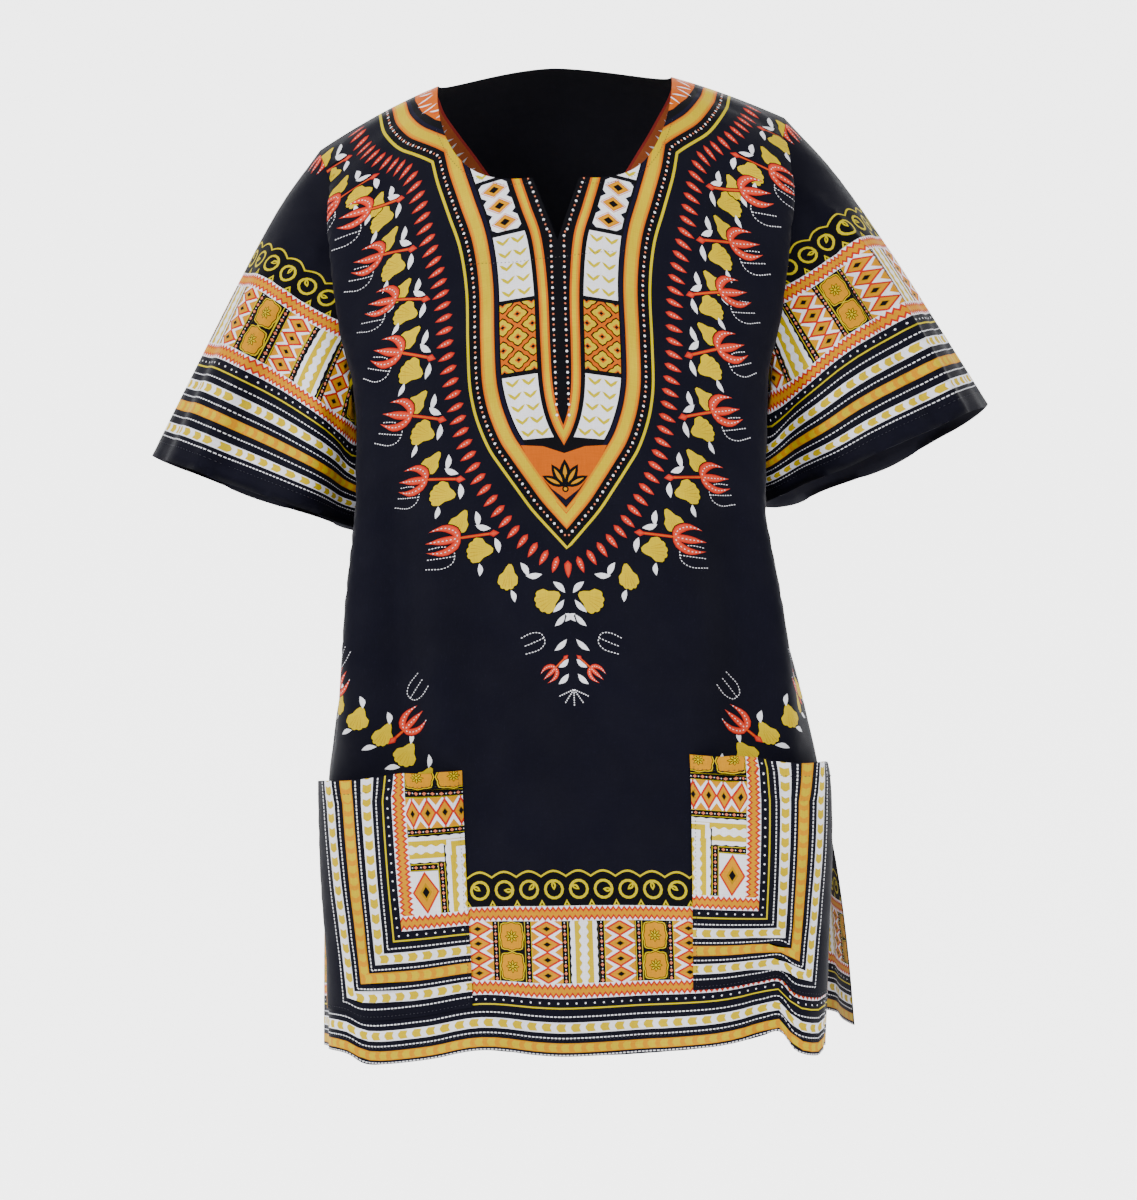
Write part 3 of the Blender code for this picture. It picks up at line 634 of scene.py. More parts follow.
def disc(radius, count=8, x=0.0, y=0.0):
    return [(x + radius * math.cos(a * 2 * math.pi / count),
             y + radius * math.sin(a * 2 * math.pi / count)) for a in range(count)]


def rect(x0, y0, x1, y1):
    return [(x0, y0), (x1, y0), (x1, y1), (x0, y1)]


def dash(x, y, angle, length, width):
    """A short bar, in the units of its place."""
    return spot(x, y, angle, 1.0)(rect(-length / 2, -width / 2, length / 2, width / 2))


def diamond(width, height, x=0.0, y=0.0):
    return [(x - width / 2, y), (x, y - height / 2), (x + width / 2, y), (x, y + height / 2)]


def lens(length, width, bend=0.0, blunt=0.0, count=5):
    """A leaf between two points: bend curves it, blunt rounds its far end."""
    upper, lower = [], []
    for i in range(count + 1):
        u = i / count
        swell = math.sin(math.pi * u ** (1 - 0.45 * blunt)) ** (1.0 - 0.35 * blunt)
        middle = bend * math.sin(math.pi * u)
        upper.append((length * (u - 0.5), middle + width / 2 * swell))
        lower.append((length * (u - 0.5), middle - width / 2 * swell))
    return upper[:1] + lower[1:-1] + upper[:0:-1]


class Canvas:
    """What is printed on a flat piece: shapes with a colour, later ones on top."""

    ground = NAVY

    def __init__(self):
        self.shapes = []

    def fill(self, points, colour):
        self.shapes.append(([(float(x), float(y)) for x, y in points], colour))

    def dashes(self, path, pitch, length, width):
        """A line of white dashes along a path."""
        for x, y, angle in stations(path, pitch, pitch / 2):
            self.fill(dash(x, y, angle, length, width), WHITE)

    def dots(self, path, pitch, radius, second=None):
        """White dots along a path, or white ones and smaller ones of a second colour."""
        for i, (x, y, angle) in enumerate(stations(path, pitch, pitch / 2)):
            size, colour = (0.75, second) if second and i % 2 else (1.0, WHITE)
            self.fill(spot(x, y, angle, 1.0)(disc(radius * size, 5)), colour)


# Motifs, each in millimetres along and aside of its own place

def draw_drop(canvas, place):
    drop = lens(13.5, 5.0, 0, 0.6)
    canvas.fill(place(drop), RED)
    canvas.fill(place([(u * 0.8, v * 0.62) for u, v in drop]), CORAL)
    for i in range(3):
        canvas.fill(place(disc(0.45, 4, -2.2 + 2.3 * i)), WHITE)


def draw_leaf(canvas, place, length=13.0, width=4.8, bend=1.0):
    canvas.fill(place(lens(length, width, bend)), WHITE)


def draw_blossom(canvas, place, wide=1.0):
    """A yellow bloom: narrow foot, scalloped far edge."""
    foot = [(-10.5, -1.4 * wide), (-8.0, -3.6 * wide), (-4.0, -5.6 * wide), (-1.2, -9.2 * wide)]
    edge, points = foot[:], 15
    for i in range(points + 1):
        turn = -1.25 + 2.5 * i / points
        bump = 1 + 0.11 * abs(math.sin(math.pi * i / 3))
        edge.append((10.2 * math.cos(turn) * bump - 1.4, 10.2 * wide * math.sin(turn) * bump))
    edge += [(u, -v) for u, v in foot[::-1]]
    canvas.fill(place([(u * 1.12, v * 1.12) for u, v in edge]), INK)
    canvas.fill(place(edge), YELLOW)
    for v in (-4.6, -1.7, 1.9, 5.0):
        canvas.fill(place([(-5.5, v * 0.28 * wide), (7.0, v * wide - 0.22), (7.0, v * wide + 0.22)]), OCHRE)


def prong(points, width):
    """A curved petal along points: full in its middle and pointed at its end."""
    path = curve(points, PETAL_STEP)
    n = len(path)
    half = [width / 2 * (0.45 + 0.55 * math.sin(math.pi * min(i / (n - 1) * 1.15 + 0.12, 1.0)))
            * (1 - max(0.0, i / (n - 1) - 0.72) / 0.28) for i in range(n)]
    one, two = ([tuple(path[i] + side[i] * half[i]) for i in range(n)]
                for side in (beside(path, 1.0) - path, beside(path, -1.0) - path))
    return one + two[::-1][1:]


def draw_tulip(canvas, place, stem=22.0, head=1.0):
    """A red tulip on a stem with a diamond at its foot."""
    for points, colour in ((rect(6.0, -1.7, stem + 2, 1.7), INK), (diamond(9.0, 5.6, 4.0), RED),
                           (rect(6.0, -1.1, stem + 2, 1.1), RED), (diamond(5.6, 3.0, 4.0), CORAL),
                           (rect(7.5, -0.45, stem, 0.45), ORANGE)):
        canvas.fill(place(points), colour)
    petals = [[(stem + u * head, v * head) for u, v in petal] for petal in TULIP_PETALS]
    petals.append([(stem, 0), (stem + 9 * head, 0.4), (stem + 17 * head, 0.2), (stem + 25 * head, 0.0)])
    for width, colour in ((8.0, INK), (6.4, RED), (4.4, CORAL)):
        for petal in petals:
            canvas.fill(place(prong(petal, width * head)), colour)
    for petal in petals:
        for x, y, angle in stations(curve(petal, PETAL_STEP), 3.0, 2.4):
            if x < stem + 21 * head:
                canvas.fill(place(dash(x, y, angle, 1.1, 0.6)), WHITE)


def draw_ghost(canvas, place, size=1.0):
    """A tulip in dotted outline."""
    bow = [(u * size, v * size) for u, v in GHOST_BOW]
    rod = [(0, 0), (12 * size, 0.3), (23 * size, 0)]
    for line in (bow, rod):
        for x, y, angle in stations(curve(line, 1.0), 2.4, 0.9):
            canvas.fill(place(dash(x, y, angle, 1.3, 0.64)), WHITE)


def draw_flower(canvas, place, radius=5.0):
    """An eight-petalled flower."""
    for long, wide, colour in ((0.92, 0.46, INK), (0.66, 0.26, YELLOW)):
        for i in range(8):
            a = i * math.pi / 4
            petal = spot(radius * 0.56 * math.cos(a), radius * 0.56 * math.sin(a), a, 1.0)
            canvas.fill(place(petal(lens(radius * long, radius * wide, 0, 0, 3))), colour)
    canvas.fill(place(disc(radius * 0.22, 6)), YELLOW)


def draw_cartouche(canvas, place, width=18.0, height=22.0, flower=5.2):
    """A scalloped orange plate with a flower, on black."""
    def plate(w, h):
        points = []
        for i in range(32):
            a = i * 2 * math.pi / 32
            c, s = math.cos(a), math.sin(a)
            square = 1 / (abs(c) ** 3.5 + abs(s) ** 3.5) ** (1 / 3.5)
            bump = 1 + 0.055 * math.cos(8 * a)
            points.append((w / 2 * c * square * bump, h / 2 * s * square * bump))
        return points

    for inwards, colour in ((0, YELLOW), (1.5, INK), (2.6, AMBER)):
        canvas.fill(place(plate(width - inwards, height - inwards)), colour)
    draw_flower(canvas, place, flower)


def draw_lattice(canvas, place, width, height):
    """A column of orange diamonds with dark hearts on a white and red lattice."""
    canvas.fill(place(rect(0, 0, width, height)), WHITE)
    step, middle = height / LATTICE_ROWS, width / 2
    for i in range(LATTICE_ROWS + 1):
        y = i * step
        low, high = max(y - step * 0.36, 0), min(y + step * 0.36, height)
        for x, inward in ((0, 1), (width, -1)):
            canvas.fill(place([(x, low), (x + inward * width * 0.25, y), (x, high)]), AMBER)
    for i in range(LATTICE_ROWS):
        for w, h, colour in ((0.86, 1.0, RED), (0.72, 0.80, AMBER), (0.34, 0.40, OCHRE), (0.25, 0.30, INK)):
            canvas.fill(place(diamond(width * w, step * h, middle, (i + 0.5) * step)), colour)
    for i in range(LATTICE_ROWS + 1):
        y = i * step
        for sign, down in ((-1, -1), (-1, 1), (1, -1), (1, 1)):
            path = [(middle, y), (middle + sign * width * 0.5, y + down * step * 0.55)]
            if 0 <= path[1][1] <= height:
                canvas.fill(place(ribbon(path, -0.4, 0.4)), RED)


def draw_beads(canvas, place, width, length):
    """A dark strip with small diamonds and dots down its middle."""
    canvas.fill(place(rect(0, 0, width, length)), INK)
    for x in (0.25, width - 0.25):
        canvas.fill(place(rect(x - 0.28, 0, x + 0.28, length)), LIME)
    count = max(2, int(length / 5.4))
    for i in range(count):
        y = (i + 0.5) * length / count
        canvas.fill(place(diamond(2.6, 3.0, width / 2, y - 1.2)), PINK)
        canvas.fill(place(disc(0.5, 5, width / 2, y + 1.5)), WHITE)


def draw_waves(canvas, place, width, length):
    """A white strip with two yellow waves, scalloped along both sides."""
    canvas.fill(place(rect(0, 0, width, length)), INK)
    count = max(2, int(round(length / 7.0)))
    rows = range(count * 6 + 1)
    ys = [length * i / (count * 6) for i in rows]
    bump = [0.75 * abs(math.sin(math.pi * i / 6)) for i in rows]
    wave = [0.9 * math.sin(math.pi * i / 3) for i in rows]
    left = [(1.5 - b, y) for b, y in zip(bump, ys)]
    right = [(width - 1.5 + b, y) for b, y in zip(bump, ys)]
    canvas.fill(place(left + right[::-1]), WHITE)
    for middle, sign in ((width * 0.30, 1), (width * 0.70, -1)):
        near = [(middle - sign * 2.4, y) for y in ys]
        far = [(middle + sign * (1.7 + w), y) for w, y in zip(wave, ys)]
        canvas.fill(place(near + far[::-1]), YELLOW)


def draw_zigzag(canvas, path, low):
    """The toothed band: white teeth, red outline, orange within."""
    high = low + TOOTH_BAND
    canvas.fill(ribbon(path, low, high), WHITE)
    middle, height = (low + high) / 2, high - low
    points = np.array([[x, y] for x, y, _ in stations(path, TOOTH_PITCH / 2)])
    side = beside(points, 1.0) - points
    teeth = np.where(np.arange(len(points)) % 2 == 0, -1.0, 1.0)[:, None]
    centre = points + side * (middle + teeth * height * 0.125)
    for half, colour in ((0.38, RED), (0.19, AMBER)):
        reach = side * half * height
        canvas.fill(np.vstack([centre + reach, (centre - reach)[::-1]]), colour)


def draw_stripe(canvas, path, low, high, ground):
    """A white or amber stripe with soft yellow blobs along it."""
    canvas.fill(ribbon(path, low, high), ground)
    pitch = STRIPE_PITCH[ground]
    mark = [(u * (pitch / MM), v * ((high - low) / MM)) for u, v in STRIPE_MARK]
    for x, y, angle in stations(beside(path, (low + high) / 2), pitch, pitch / 2):
        canvas.fill(spot(x, y, angle)(mark), YELLOW)


def draw_fine_line(canvas, path, at):
    """A thin dotted white line."""
    canvas.dashes(beside(path, at), 0.0029, 0.0019, 0.0009)


def draw_scallops(canvas, path, low):
    """The border's free edge: a scalloped line over rings with a leaf in each."""
    points = np.array([[x, y] for x, y, _ in stations(path, SCALLOP_PITCH / 8)])
    side = beside(points, 1.0) - points
    swell = np.abs(np.sin(np.pi * np.arange(len(points)) / 8))[:, None]
    top = points + side * (low + 0.0215 + 0.0042 * swell)
    canvas.fill(np.vstack([points + side * low, top[::-1]]), INK)
    canvas.fill(np.vstack([top, (top + side * 0.0016)[::-1]]), LIME)
    for i, (x, y, angle) in enumerate(stations(path, SCALLOP_PITCH, SCALLOP_PITCH / 2)):
        normal = angle + math.pi / 2
        cx, cy = x + math.cos(normal) * (low + 0.0125), y + math.sin(normal) * (low + 0.0125)
        ring = spot(cx, cy, angle)
        canvas.fill(ring(disc(7.6, 14)), LIME)
        canvas.fill(ring(disc(5.6, 12)), INK)
        turn = 0.5 + 0.9 * (i % 4) + angle
        leaf = spot(cx + 0.0030 * math.cos(turn), cy + 0.0030 * math.sin(turn), turn)
        canvas.fill(leaf(lens(7.2, 3.6, 0.4)), LIME)
        canvas.fill(leaf(lens(3.4, 1.0, 0.2, 0, 4)), INK)
        foot = spot(x + math.cos(angle) * SCALLOP_PITCH / 2, y + math.sin(angle) * SCALLOP_PITCH / 2, angle)
        for half, near, far, colour in ((2.6, 0.2, 5.0, LIME), (1.0, 0.9, 2.9, INK)):
            near, far = low / MM + near, low / MM + far
            canvas.fill(foot([(-half, near), (half, near), (0, far)]), colour)


BORDER_MOTIFS = {"lattice": draw_lattice, "beads": draw_beads, "waves": draw_waves}


def draw_border(canvas, path, base, order):
    """The toothed bands, panel and scallops beside a path, from base upwards."""
    canvas.dots(beside(path, base - 0.0035), 0.007, 0.0008)
    canvas.fill(ribbon(path, base - 0.0078, base - 0.0066), LIME)
    draw_zigzag(canvas, path, base)
    low = base + TOOTH_BAND
    length, height = whole_length(path) / MM, PANEL_HEIGHT / MM
    places = stations(path, MM)
    at, i = 0.0, 0
    while at < length - 1:
        kind, width = order[i % len(order)]
        width = min(width, length - at)
        x, y, angle = places[min(int(at), len(places) - 1)]
        normal = angle + math.pi / 2
        place = spot(x + math.cos(normal) * low, y + math.sin(normal) * low, angle)
        if kind == "plates":
            canvas.fill(place(rect(0, 0, width, height)), INK)
            for share in (0.25, 0.75):
                (centre,) = place([(width / 2, height * share)])
                draw_cartouche(canvas, spot(*centre, angle), width * 0.98, height * 0.48)
        else:
            BORDER_MOTIFS[kind](canvas, place, width, height)
        at += width
        i += 1
    draw_zigzag(canvas, path, low + PANEL_HEIGHT)
    draw_scallops(canvas, path, low + PANEL_HEIGHT + TOOTH_BAND)


# The order of the border's panel, with widths in millimetres
BORDER_ORDER = (("lattice", 23.0), ("beads", 5.5), ("plates", 19.0), ("beads", 5.5),
                ("lattice", 23.0), ("beads", 5.5), ("waves", 22.5), ("beads", 5.5))
HEM_REACH = 0.31175       # how far from the middle the hem's border begins
UNDER_POCKETS = (0.100, 0.215, 0.660, 0.785)  # across from and to, down from and to
SLEEVE_PRINT_SHIFT = {"left": 0.058 + 0.100, "right": -0.035 + 0.100}

# Lines and fields of the print round the neck: across and down
NECK_LINE = metres((140, 0), (137, 35), (131, 62), (122, 85), (110, 104), (95, 123))
NECK_LINE_BELOW = metres((95, 123), (91, 145), (83, 176), (74.5, 208), (70.5, 245), (70.8, 286),
                         (70.6, 318), (68.2, 338), (64, 355), (57, 374), (48, 390), (37, 408), (26, 425),
                         (13, 441), (0, 456))
RING_LINE = metres((0, 472), (15, 465), (40, 442), (64, 401), (77, 362), (84, 321), (88, 287), (89, 255),
                   (93, 221), (100, 188), (106, 154), (114, 122), (127, 100), (142, 75), (152, 45),
                   (158, 20), (160, 0))
BACK_NECK_LINE = metres((140, 0), (138, 30), (130, 70), (112, 118), (88, 165), (60, 208), (30, 243),
                        (0, 268))
BACK_RING_LINE = metres((0, 286), (30, 262), (66, 225), (98, 181), (124, 132), (146, 80), (156, 35),
                        (160, 0))
SLIT_BAND = metres((43, 90), (39.5, 120), (36.5, 148), (34, 165), (27, 190), (19.5, 216), (15.8, 255),
                   (15.2, 300), (14.5, 328), (11.8, 348), (6.8, 364), (0, 377))
SLIT_DOTS = metres((23.5, 160), (15, 186), (7.2, 211), (5, 224), (4.7, 358))
YOKE_FIELD = metres((88, -2), (112, -2), (110.5, 30), (104, 56), (93, 78), (80, 94), (70, 90), (84, 60))
LOTUS_FIELD = [(0.0, 0.383), (0.016, 0.377), (0.033, 0.3745), (0.027, 0.386), (0.019, 0.399),
               (0.0105, 0.410), (0.0, 0.4185)]

# Motifs round the neck: their spacing, shares of their width, and points in millimetres
DROP_PITCH = 0.0105
BLOOM_PITCH = 0.0255
BLOOM_WIDTHS = (1.0, 0.78)
WING = ((-5.6, -2.4), (-3.0, -1.6), (0, 0.9), (3.0, -1.6), (5.6, -2.4), (3.6, 0.9), (0, 3.6), (-3.6, 0.9))
SPRIG_LEAVES = ((0.020, 0.0085, 0.75, 13), (0.031, 0.0080, 0.75, 12), (0.050, 0.0085, 0.85, 13),
                (0.064, 0.0070, 0.9, 10), (0.076, 0.0075, 0.8, 11))  # down, out, turn, length
LOTUS_PETALS = ((0.0, 22, 9.5), (0.52, 20, 8.0), (-0.52, 20, 8.0), (1.08, 19, 7.0), (-1.08, 19, 7.0))
FIELD_REPEATS = 3
FIELD_GAP = 0.0016        # from a field's edge to the middle of the line between two


def whole(half):
    """A mirrored path: down the left side to the tip and up the right side."""
    half = np.asarray(half)
    return np.vstack([np.stack([-half[:, 0], half[:, 1]], axis=1), half[-2::-1]])


def inset(half, distance):
    """Half of a mirrored outline, moved inwards and ended where it meets the middle."""
    moved = beside(half, distance)
    inside = moved[:, 0] > 0
    last = len(moved) if inside.all() else int(np.argmin(inside))
    kept = moved[:last]
    if last < len(moved):
        a, b = moved[last - 1], moved[last]
        kept = np.vstack([kept, a + (b - a) * a[0] / (a[0] - b[0])])
    return kept


def nest(canvas, half, steps):
    """Filled mirrored outlines, each inside the one before."""
    for distance, colour in steps:
        canvas.fill(whole(inset(half, distance)), colour)


def draw_neck_bands(canvas, half):
    """The lines and the broad band that frame the neck panel."""
    nest(canvas, half, ((-0.0012, INK), (-0.0010, LIME), (0.0010, INK),
                        (0.0096, ORANGE), (0.0106, AMBER), (0.0122, YELLOW), (0.0182, AMBER),
                        (0.0197, ORANGE), (0.0204, INK), (0.0212, INDIGO), (0.0236, INK)))
    for side in (1, -1):
        canvas.dots(inset(half, 0.0055) * [side, 1], 0.0040, 0.0011, PINK)


def draw_ring(canvas, line):
    """Drops, blossoms, leaves, tulips and dotted tulips round the neck panel."""
    line = curve(line, 0.002)
    length = whole_length(line)

    def put(draw, at, out, turn, *sizes):
        x, y, angle = stations(line, 1.0, at)[0]
        outward = angle + math.pi / 2
        place = spot(x + math.cos(outward) * out, y + math.sin(outward) * out, outward + turn)
        pair(draw, canvas, place, *sizes)

    tip = spot(0, line[0][1], math.pi / 2)
    canvas.fill(tip(lens(13.5, 5.6, 0, 1)), RED)
    canvas.fill(tip(lens(10.5, 3.4, 0, 1)), CORAL)
    for i in range(1, int((length - 0.004) / DROP_PITCH)):
        put(draw_drop, i * DROP_PITCH, 0.0, 0.10)
    at, i = 0.0075, 0
    while at < length:
        put(draw_leaf, at - 0.0055, 0.0155, 1.15, 12.5, 4.6, 0.8)
        if i % 2 == 0:
            put(draw_leaf, at + 0.0120, 0.0150, -0.9, 12.5, 4.6, 0.8)
        put(draw_blossom, at, 0.0275, (-0.75, 0.55)[i % 2], BLOOM_WIDTHS[i % 2])
        put(draw_leaf, at - 0.0095, 0.0370, 0.9, 10.0, 4.0, 0.8)
        if i % 2 == 1 and at + 0.033 < length:
            put(draw_ghost, at + 0.0330, 0.0440, -0.62, 0.92)
        at += BLOOM_PITCH
        i += 1
    for at in np.arange(0.0075 + BLOOM_PITCH, length - BLOOM_PITCH, 2 * BLOOM_PITCH):
        put(draw_tulip, at + 0.0264, 0.0085, -0.62, 31.0, 1.0)


def draw_sprig(canvas, top):
    """The sprig that closes the ring: leaves in pairs, two tulips, a dotted fan."""
    for down, out, turn, length in SPRIG_LEAVES:
        pair(draw_leaf, canvas, spot(out, top + down, math.pi / 2 - turn), length, 4.2, 0.7)
    pair(draw_tulip, canvas, spot(0.0035, top + 0.058, 0.75, MM * 0.62), 22.0, 0.85)
    pair(draw_ghost, canvas, spot(0.021, top + 0.044, 0.35), 0.75)
    for turn in (-1.15, -0.6, 0.0, 0.6, 1.15):
        path = [(0, top + 0.084), (0.013 * math.sin(turn), top + 0.084 + 0.013 * math.cos(turn))]
        canvas.dashes(curve(path, 0.001), 0.0018, 0.0010, 0.0008)


def draw_side_cluster(canvas, sign):
    """Flowers that stand over the outer end of each pocket."""
    def own(x, y, angle):
        return spot(x, y, angle) if sign > 0 else mirrored(spot(x, y, angle))

    path = curve([(0.250, 0.500), (0.190, 0.552), (0.140, 0.598), (0.100, 0.650)], 0.002)
    for i, (x, y, angle) in enumerate(stations(path, BLOOM_PITCH, 0.006)):
        draw_blossom(canvas, own(x, y, angle - math.pi / 2 + 0.3), BLOOM_WIDTHS[i % 2])
        draw_leaf(canvas, own(x + 0.011, y + 0.010, angle + 0.9), 12.0, 4.6)
        draw_leaf(canvas, own(x - 0.004, y - 0.014, angle - 0.7), 11.0, 4.2)
    for x, y in ((0.205, 0.552), (0.146, 0.596)):
        draw_tulip(canvas, own(x, y, -2.45), 16.0, 0.9)
    for x, y in ((0.188, 0.520), (0.128, 0.560)):
        draw_ghost(canvas, own(x, y, -2.3), 0.85)


def draw_chevrons(canvas, left, right, top, bottom):
    """A white field with rows of small yellow wings, between two side curves."""
    fill_between(canvas, left, right, top, bottom, WHITE)
    rows = max(1, int(round((bottom - top) / 0.0103)))
    for i in range(rows):
        down = top + (i + 0.5) * (bottom - top) / rows
        x0, x1 = side_at(left, down), side_at(right, down)
        for share in (0.27, 0.73):
            canvas.fill(spot(x0 + (x1 - x0) * share, down)(WING), LIME)


def side_at(path, down):
    """How far across a path stands, at a distance down."""
    order = np.argsort(path[:, 1])
    return float(np.interp(down, path[order, 1], path[order, 0]))


def fill_between(canvas, left, right, top, bottom, colour):
    downs = np.linspace(top, bottom, max(3, int((bottom - top) / 0.004)))
    points = [(side_at(left, d), d) for d in downs] + [(side_at(right, d), d) for d in downs[::-1]]
    canvas.fill(points, colour)


def draw_compartments(canvas, outer, inner, sign):
    """The fields between the broad band and the band of the slit, down one side."""
    own = Canvas()

    def diamond_field(top, bottom):
        pitch = (bottom - top) / FIELD_REPEATS
        middles = [top + (i + 0.5) * pitch for i in range(FIELD_REPEATS)]
        fill_between(own, inner, outer, top, bottom, NAVY)
        left, right = [], []
        for middle in middles:
            for offset, bite in ((-0.5, 0.17), (-0.30, 0.025), (0.30, 0.025), (0.5, 0.17)):
                down = middle + offset * pitch
                x0, x1 = side_at(inner, down), side_at(outer, down)
                left.append((x0 + bite * (x1 - x0), down))
                right.append((x1 - bite * (x1 - x0), down))
        own.fill(left + right[::-1], WHITE)
        for middle in middles:
            x0, x1 = side_at(inner, middle), side_at(outer, middle)
            place = spot((x0 + x1) / 2, middle)
            for w, h, colour in ((0.90, 1.0, ORANGE), (0.83, 0.92, WHITE), (0.76, 0.84, ORANGE),
                                 (0.68, 0.75, AMBER), (0.34, 0.40, INK)):
                own.fill(place(diamond((x1 - x0) / MM * w, pitch / MM * h)), colour)

    def blossom_field(top, bottom):
        fill_between(own, inner, outer, top, bottom, ORANGE)
        for i in range(2 * FIELD_REPEATS + 1):
            down = top + i * (bottom - top) / (2 * FIELD_REPEATS)
            x0, x1 = side_at(inner, down), side_at(outer, down)
            for x in ((x0 + x1) / 2,) if i % 2 else (x0 + 0.0022, x1 - 0.0022):
                for size, colour in ((1.0, INK), (0.84, YELLOW), (0.34, ORANGE), (0.18, INK)):
                    lobes = [(7.4 * size * (1 + 0.20 * math.cos(4 * a)) * math.cos(a),
                              6.4 * size * (1 + 0.20 * math.cos(4 * a)) * math.sin(a))
                             for a in np.linspace(0, 2 * math.pi, 17)[:-1]]
                    own.fill([(min(max(x + u * MM, x0), x1), min(max(down + v * MM, top), bottom))
                              for u, v in lobes], colour)

    draw_chevrons(own, inner, outer, 0.100, 0.160 - FIELD_GAP)
    diamond_field(0.160 + FIELD_GAP, 0.206 - FIELD_GAP)
    draw_chevrons(own, inner, outer, 0.206 + FIELD_GAP, 0.262 - FIELD_GAP)
    blossom_field(0.262 + FIELD_GAP, 0.319 - FIELD_GAP)
    draw_chevrons(own, inner, outer, 0.319 + FIELD_GAP, 0.372 - FIELD_GAP)
    for points, colour in own.shapes:
        canvas.fill(points if sign > 0 else mirror(points), colour)


def draw_lotus(canvas):
    """The field under the slit: an orange ground with a dark lotus and a chevron."""
    canvas.fill(LOTUS_FIELD + mirror(LOTUS_FIELD[-2:0:-1]), ORANGE)
    for turn, length, width in LOTUS_PETALS:
        place = spot(0.0105 * math.sin(turn), 0.409 - 0.0105 * math.cos(turn), turn - math.pi / 2)
        canvas.fill(place(lens(length, width, 0, 0.3)), INK)
        canvas.fill(place(lens(length * 0.62, width * 0.34, 0, 0.3)), AMBER)
    canvas.fill(spot(0, 0.4105)(disc(2.6, 10)), INK)
    canvas.fill(spot(0, 0.4105)(disc(1.4, 8)), AMBER)
    canvas.fill([(-0.0075, 0.4195), (0, 0.4285), (0.0075, 0.4195),
                 (0.0075, 0.4203), (0, 0.4297), (-0.0075, 0.4203)], ORANGE)


def leave_out_hidden(canvas):
    """Takes out the small shapes that lie wholly under a pocket."""
    x0, x1, y0, y1 = UNDER_POCKETS

    def hidden(points):
        p = np.abs(np.asarray(points))
        return p[:, 0].min() > x0 and p[:, 0].max() < x1 and p[:, 1].min() > y0 and p[:, 1].max() < y1

    canvas.shapes = [shape for shape in canvas.shapes if not hidden(shape[0])]


def draw_yoke(canvas):
    """Orange fields with white leaf strokes beside the neck, over the shoulders."""
    for sign in (1, -1):
        canvas.fill([(x * sign, y) for x, y in YOKE_FIELD], ORANGE)
        for i in range(9):
            y = 0.002 + i * 0.009
            x = 0.102 if y < 0.05 else 0.102 - (y - 0.05) * 0.62
            place = spot(x * sign, y, math.pi if sign > 0 else 0.0)
            turn = 0.5 if i % 2 else -0.35
            canvas.fill(place(spot(0, 0, turn, 1.0)(lens(13.0, 2.0, 0.8))), WHITE)
            canvas.fill(place(spot(0, 3.6, turn * 0.6, 1.0)(lens(10.0, 1.0, 0.5))), RED)


def front_print():
    canvas = Canvas()
    draw_hem(canvas)
    leave_out_hidden(canvas)
    for sign in (1, -1):
        draw_side_cluster(canvas, sign)
    draw_ring(canvas, RING_LINE)
    draw_sprig(canvas, 0.480)
    upper, lower, slit = curve(NECK_LINE, 0.004), curve(NECK_LINE_BELOW, 0.004), curve(SLIT_BAND)
    draw_neck_bands(canvas, np.vstack([upper, lower[1:]]))
    for sign in (1, -1):
        draw_compartments(canvas, beside(lower, 0.0248), beside(slit, -0.0035), sign)
    draw_lotus(canvas)
    nest(canvas, slit, ((-0.0034, INK), (0.0, ORANGE), (0.0012, AMBER), (0.0026, YELLOW), (0.0056, ORANGE),
                        (0.0072, INK)))
    for sign in (1, -1):
        canvas.dots(curve(SLIT_DOTS) * [sign, 1], 0.0041, 0.0011, PINK)
    draw_yoke(canvas)
    return canvas


def draw_hem(canvas):
    """Hem border of front and back, then its stripes down to the edge."""
    hem = curve([(HEM_REACH, HEM_DOWN), (-HEM_REACH, HEM_DOWN)], 0.01)
    draw_border(canvas, hem, 0.0435, BORDER_ORDER)
    draw_fine_line(canvas, hem, 0.0300)
    draw_stripe(canvas, hem, 0.0178, 0.0258, WHITE)
    draw_fine_line(canvas, hem, 0.0140)
    draw_stripe(canvas, hem, 0.0030, 0.0102, AMBER)
    draw_fine_line(canvas, hem, 0.0010)


def back_print():
    canvas = Canvas()
    draw_hem(canvas)
    draw_ring(canvas, BACK_RING_LINE)
    half = curve(BACK_NECK_LINE, 0.004)
    draw_neck_bands(canvas, half)
    nest(canvas, half, ((0.0250, ORANGE),))
    for i, (x, y, angle) in enumerate(stations(inset(half, 0.0330), 0.0105, 0.004)):
        pair(draw_leaf, canvas, spot(x, y, angle + math.pi / 2 + (0.3 if i % 2 else -0.3)), 13.0, 2.6, 0.6)
    nest(canvas, half, ((0.0420, RED), (0.0440, INK)))
    return canvas


def sleeve_print(side):
    canvas = Canvas()
    shift = SLEEVE_PRINT_SHIFT[side]
    cuff = curve([(-0.410 + shift, 0.0), (0.410 + shift, 0.0)], 0.01)
    draw_border(canvas, cuff, 0.084, BORDER_ORDER[2:] + BORDER_ORDER[:2])
    for at in (0.0180, 0.0350, 0.0525, 0.0705):
        draw_fine_line(canvas, cuff, at)
    for low, high, ground in ((0.0215, 0.0292, WHITE), (0.0400, 0.0480, AMBER), (0.0575, 0.0655, WHITE)):
        draw_stripe(canvas, cuff, low, high, ground)
    for across, lean in ((0.020, 0.2), (-0.022, -0.2)):
        draw_tulip(canvas, spot(across, 0.290, -math.pi / 2 + lean), 14.0, 0.9)
    return canvas


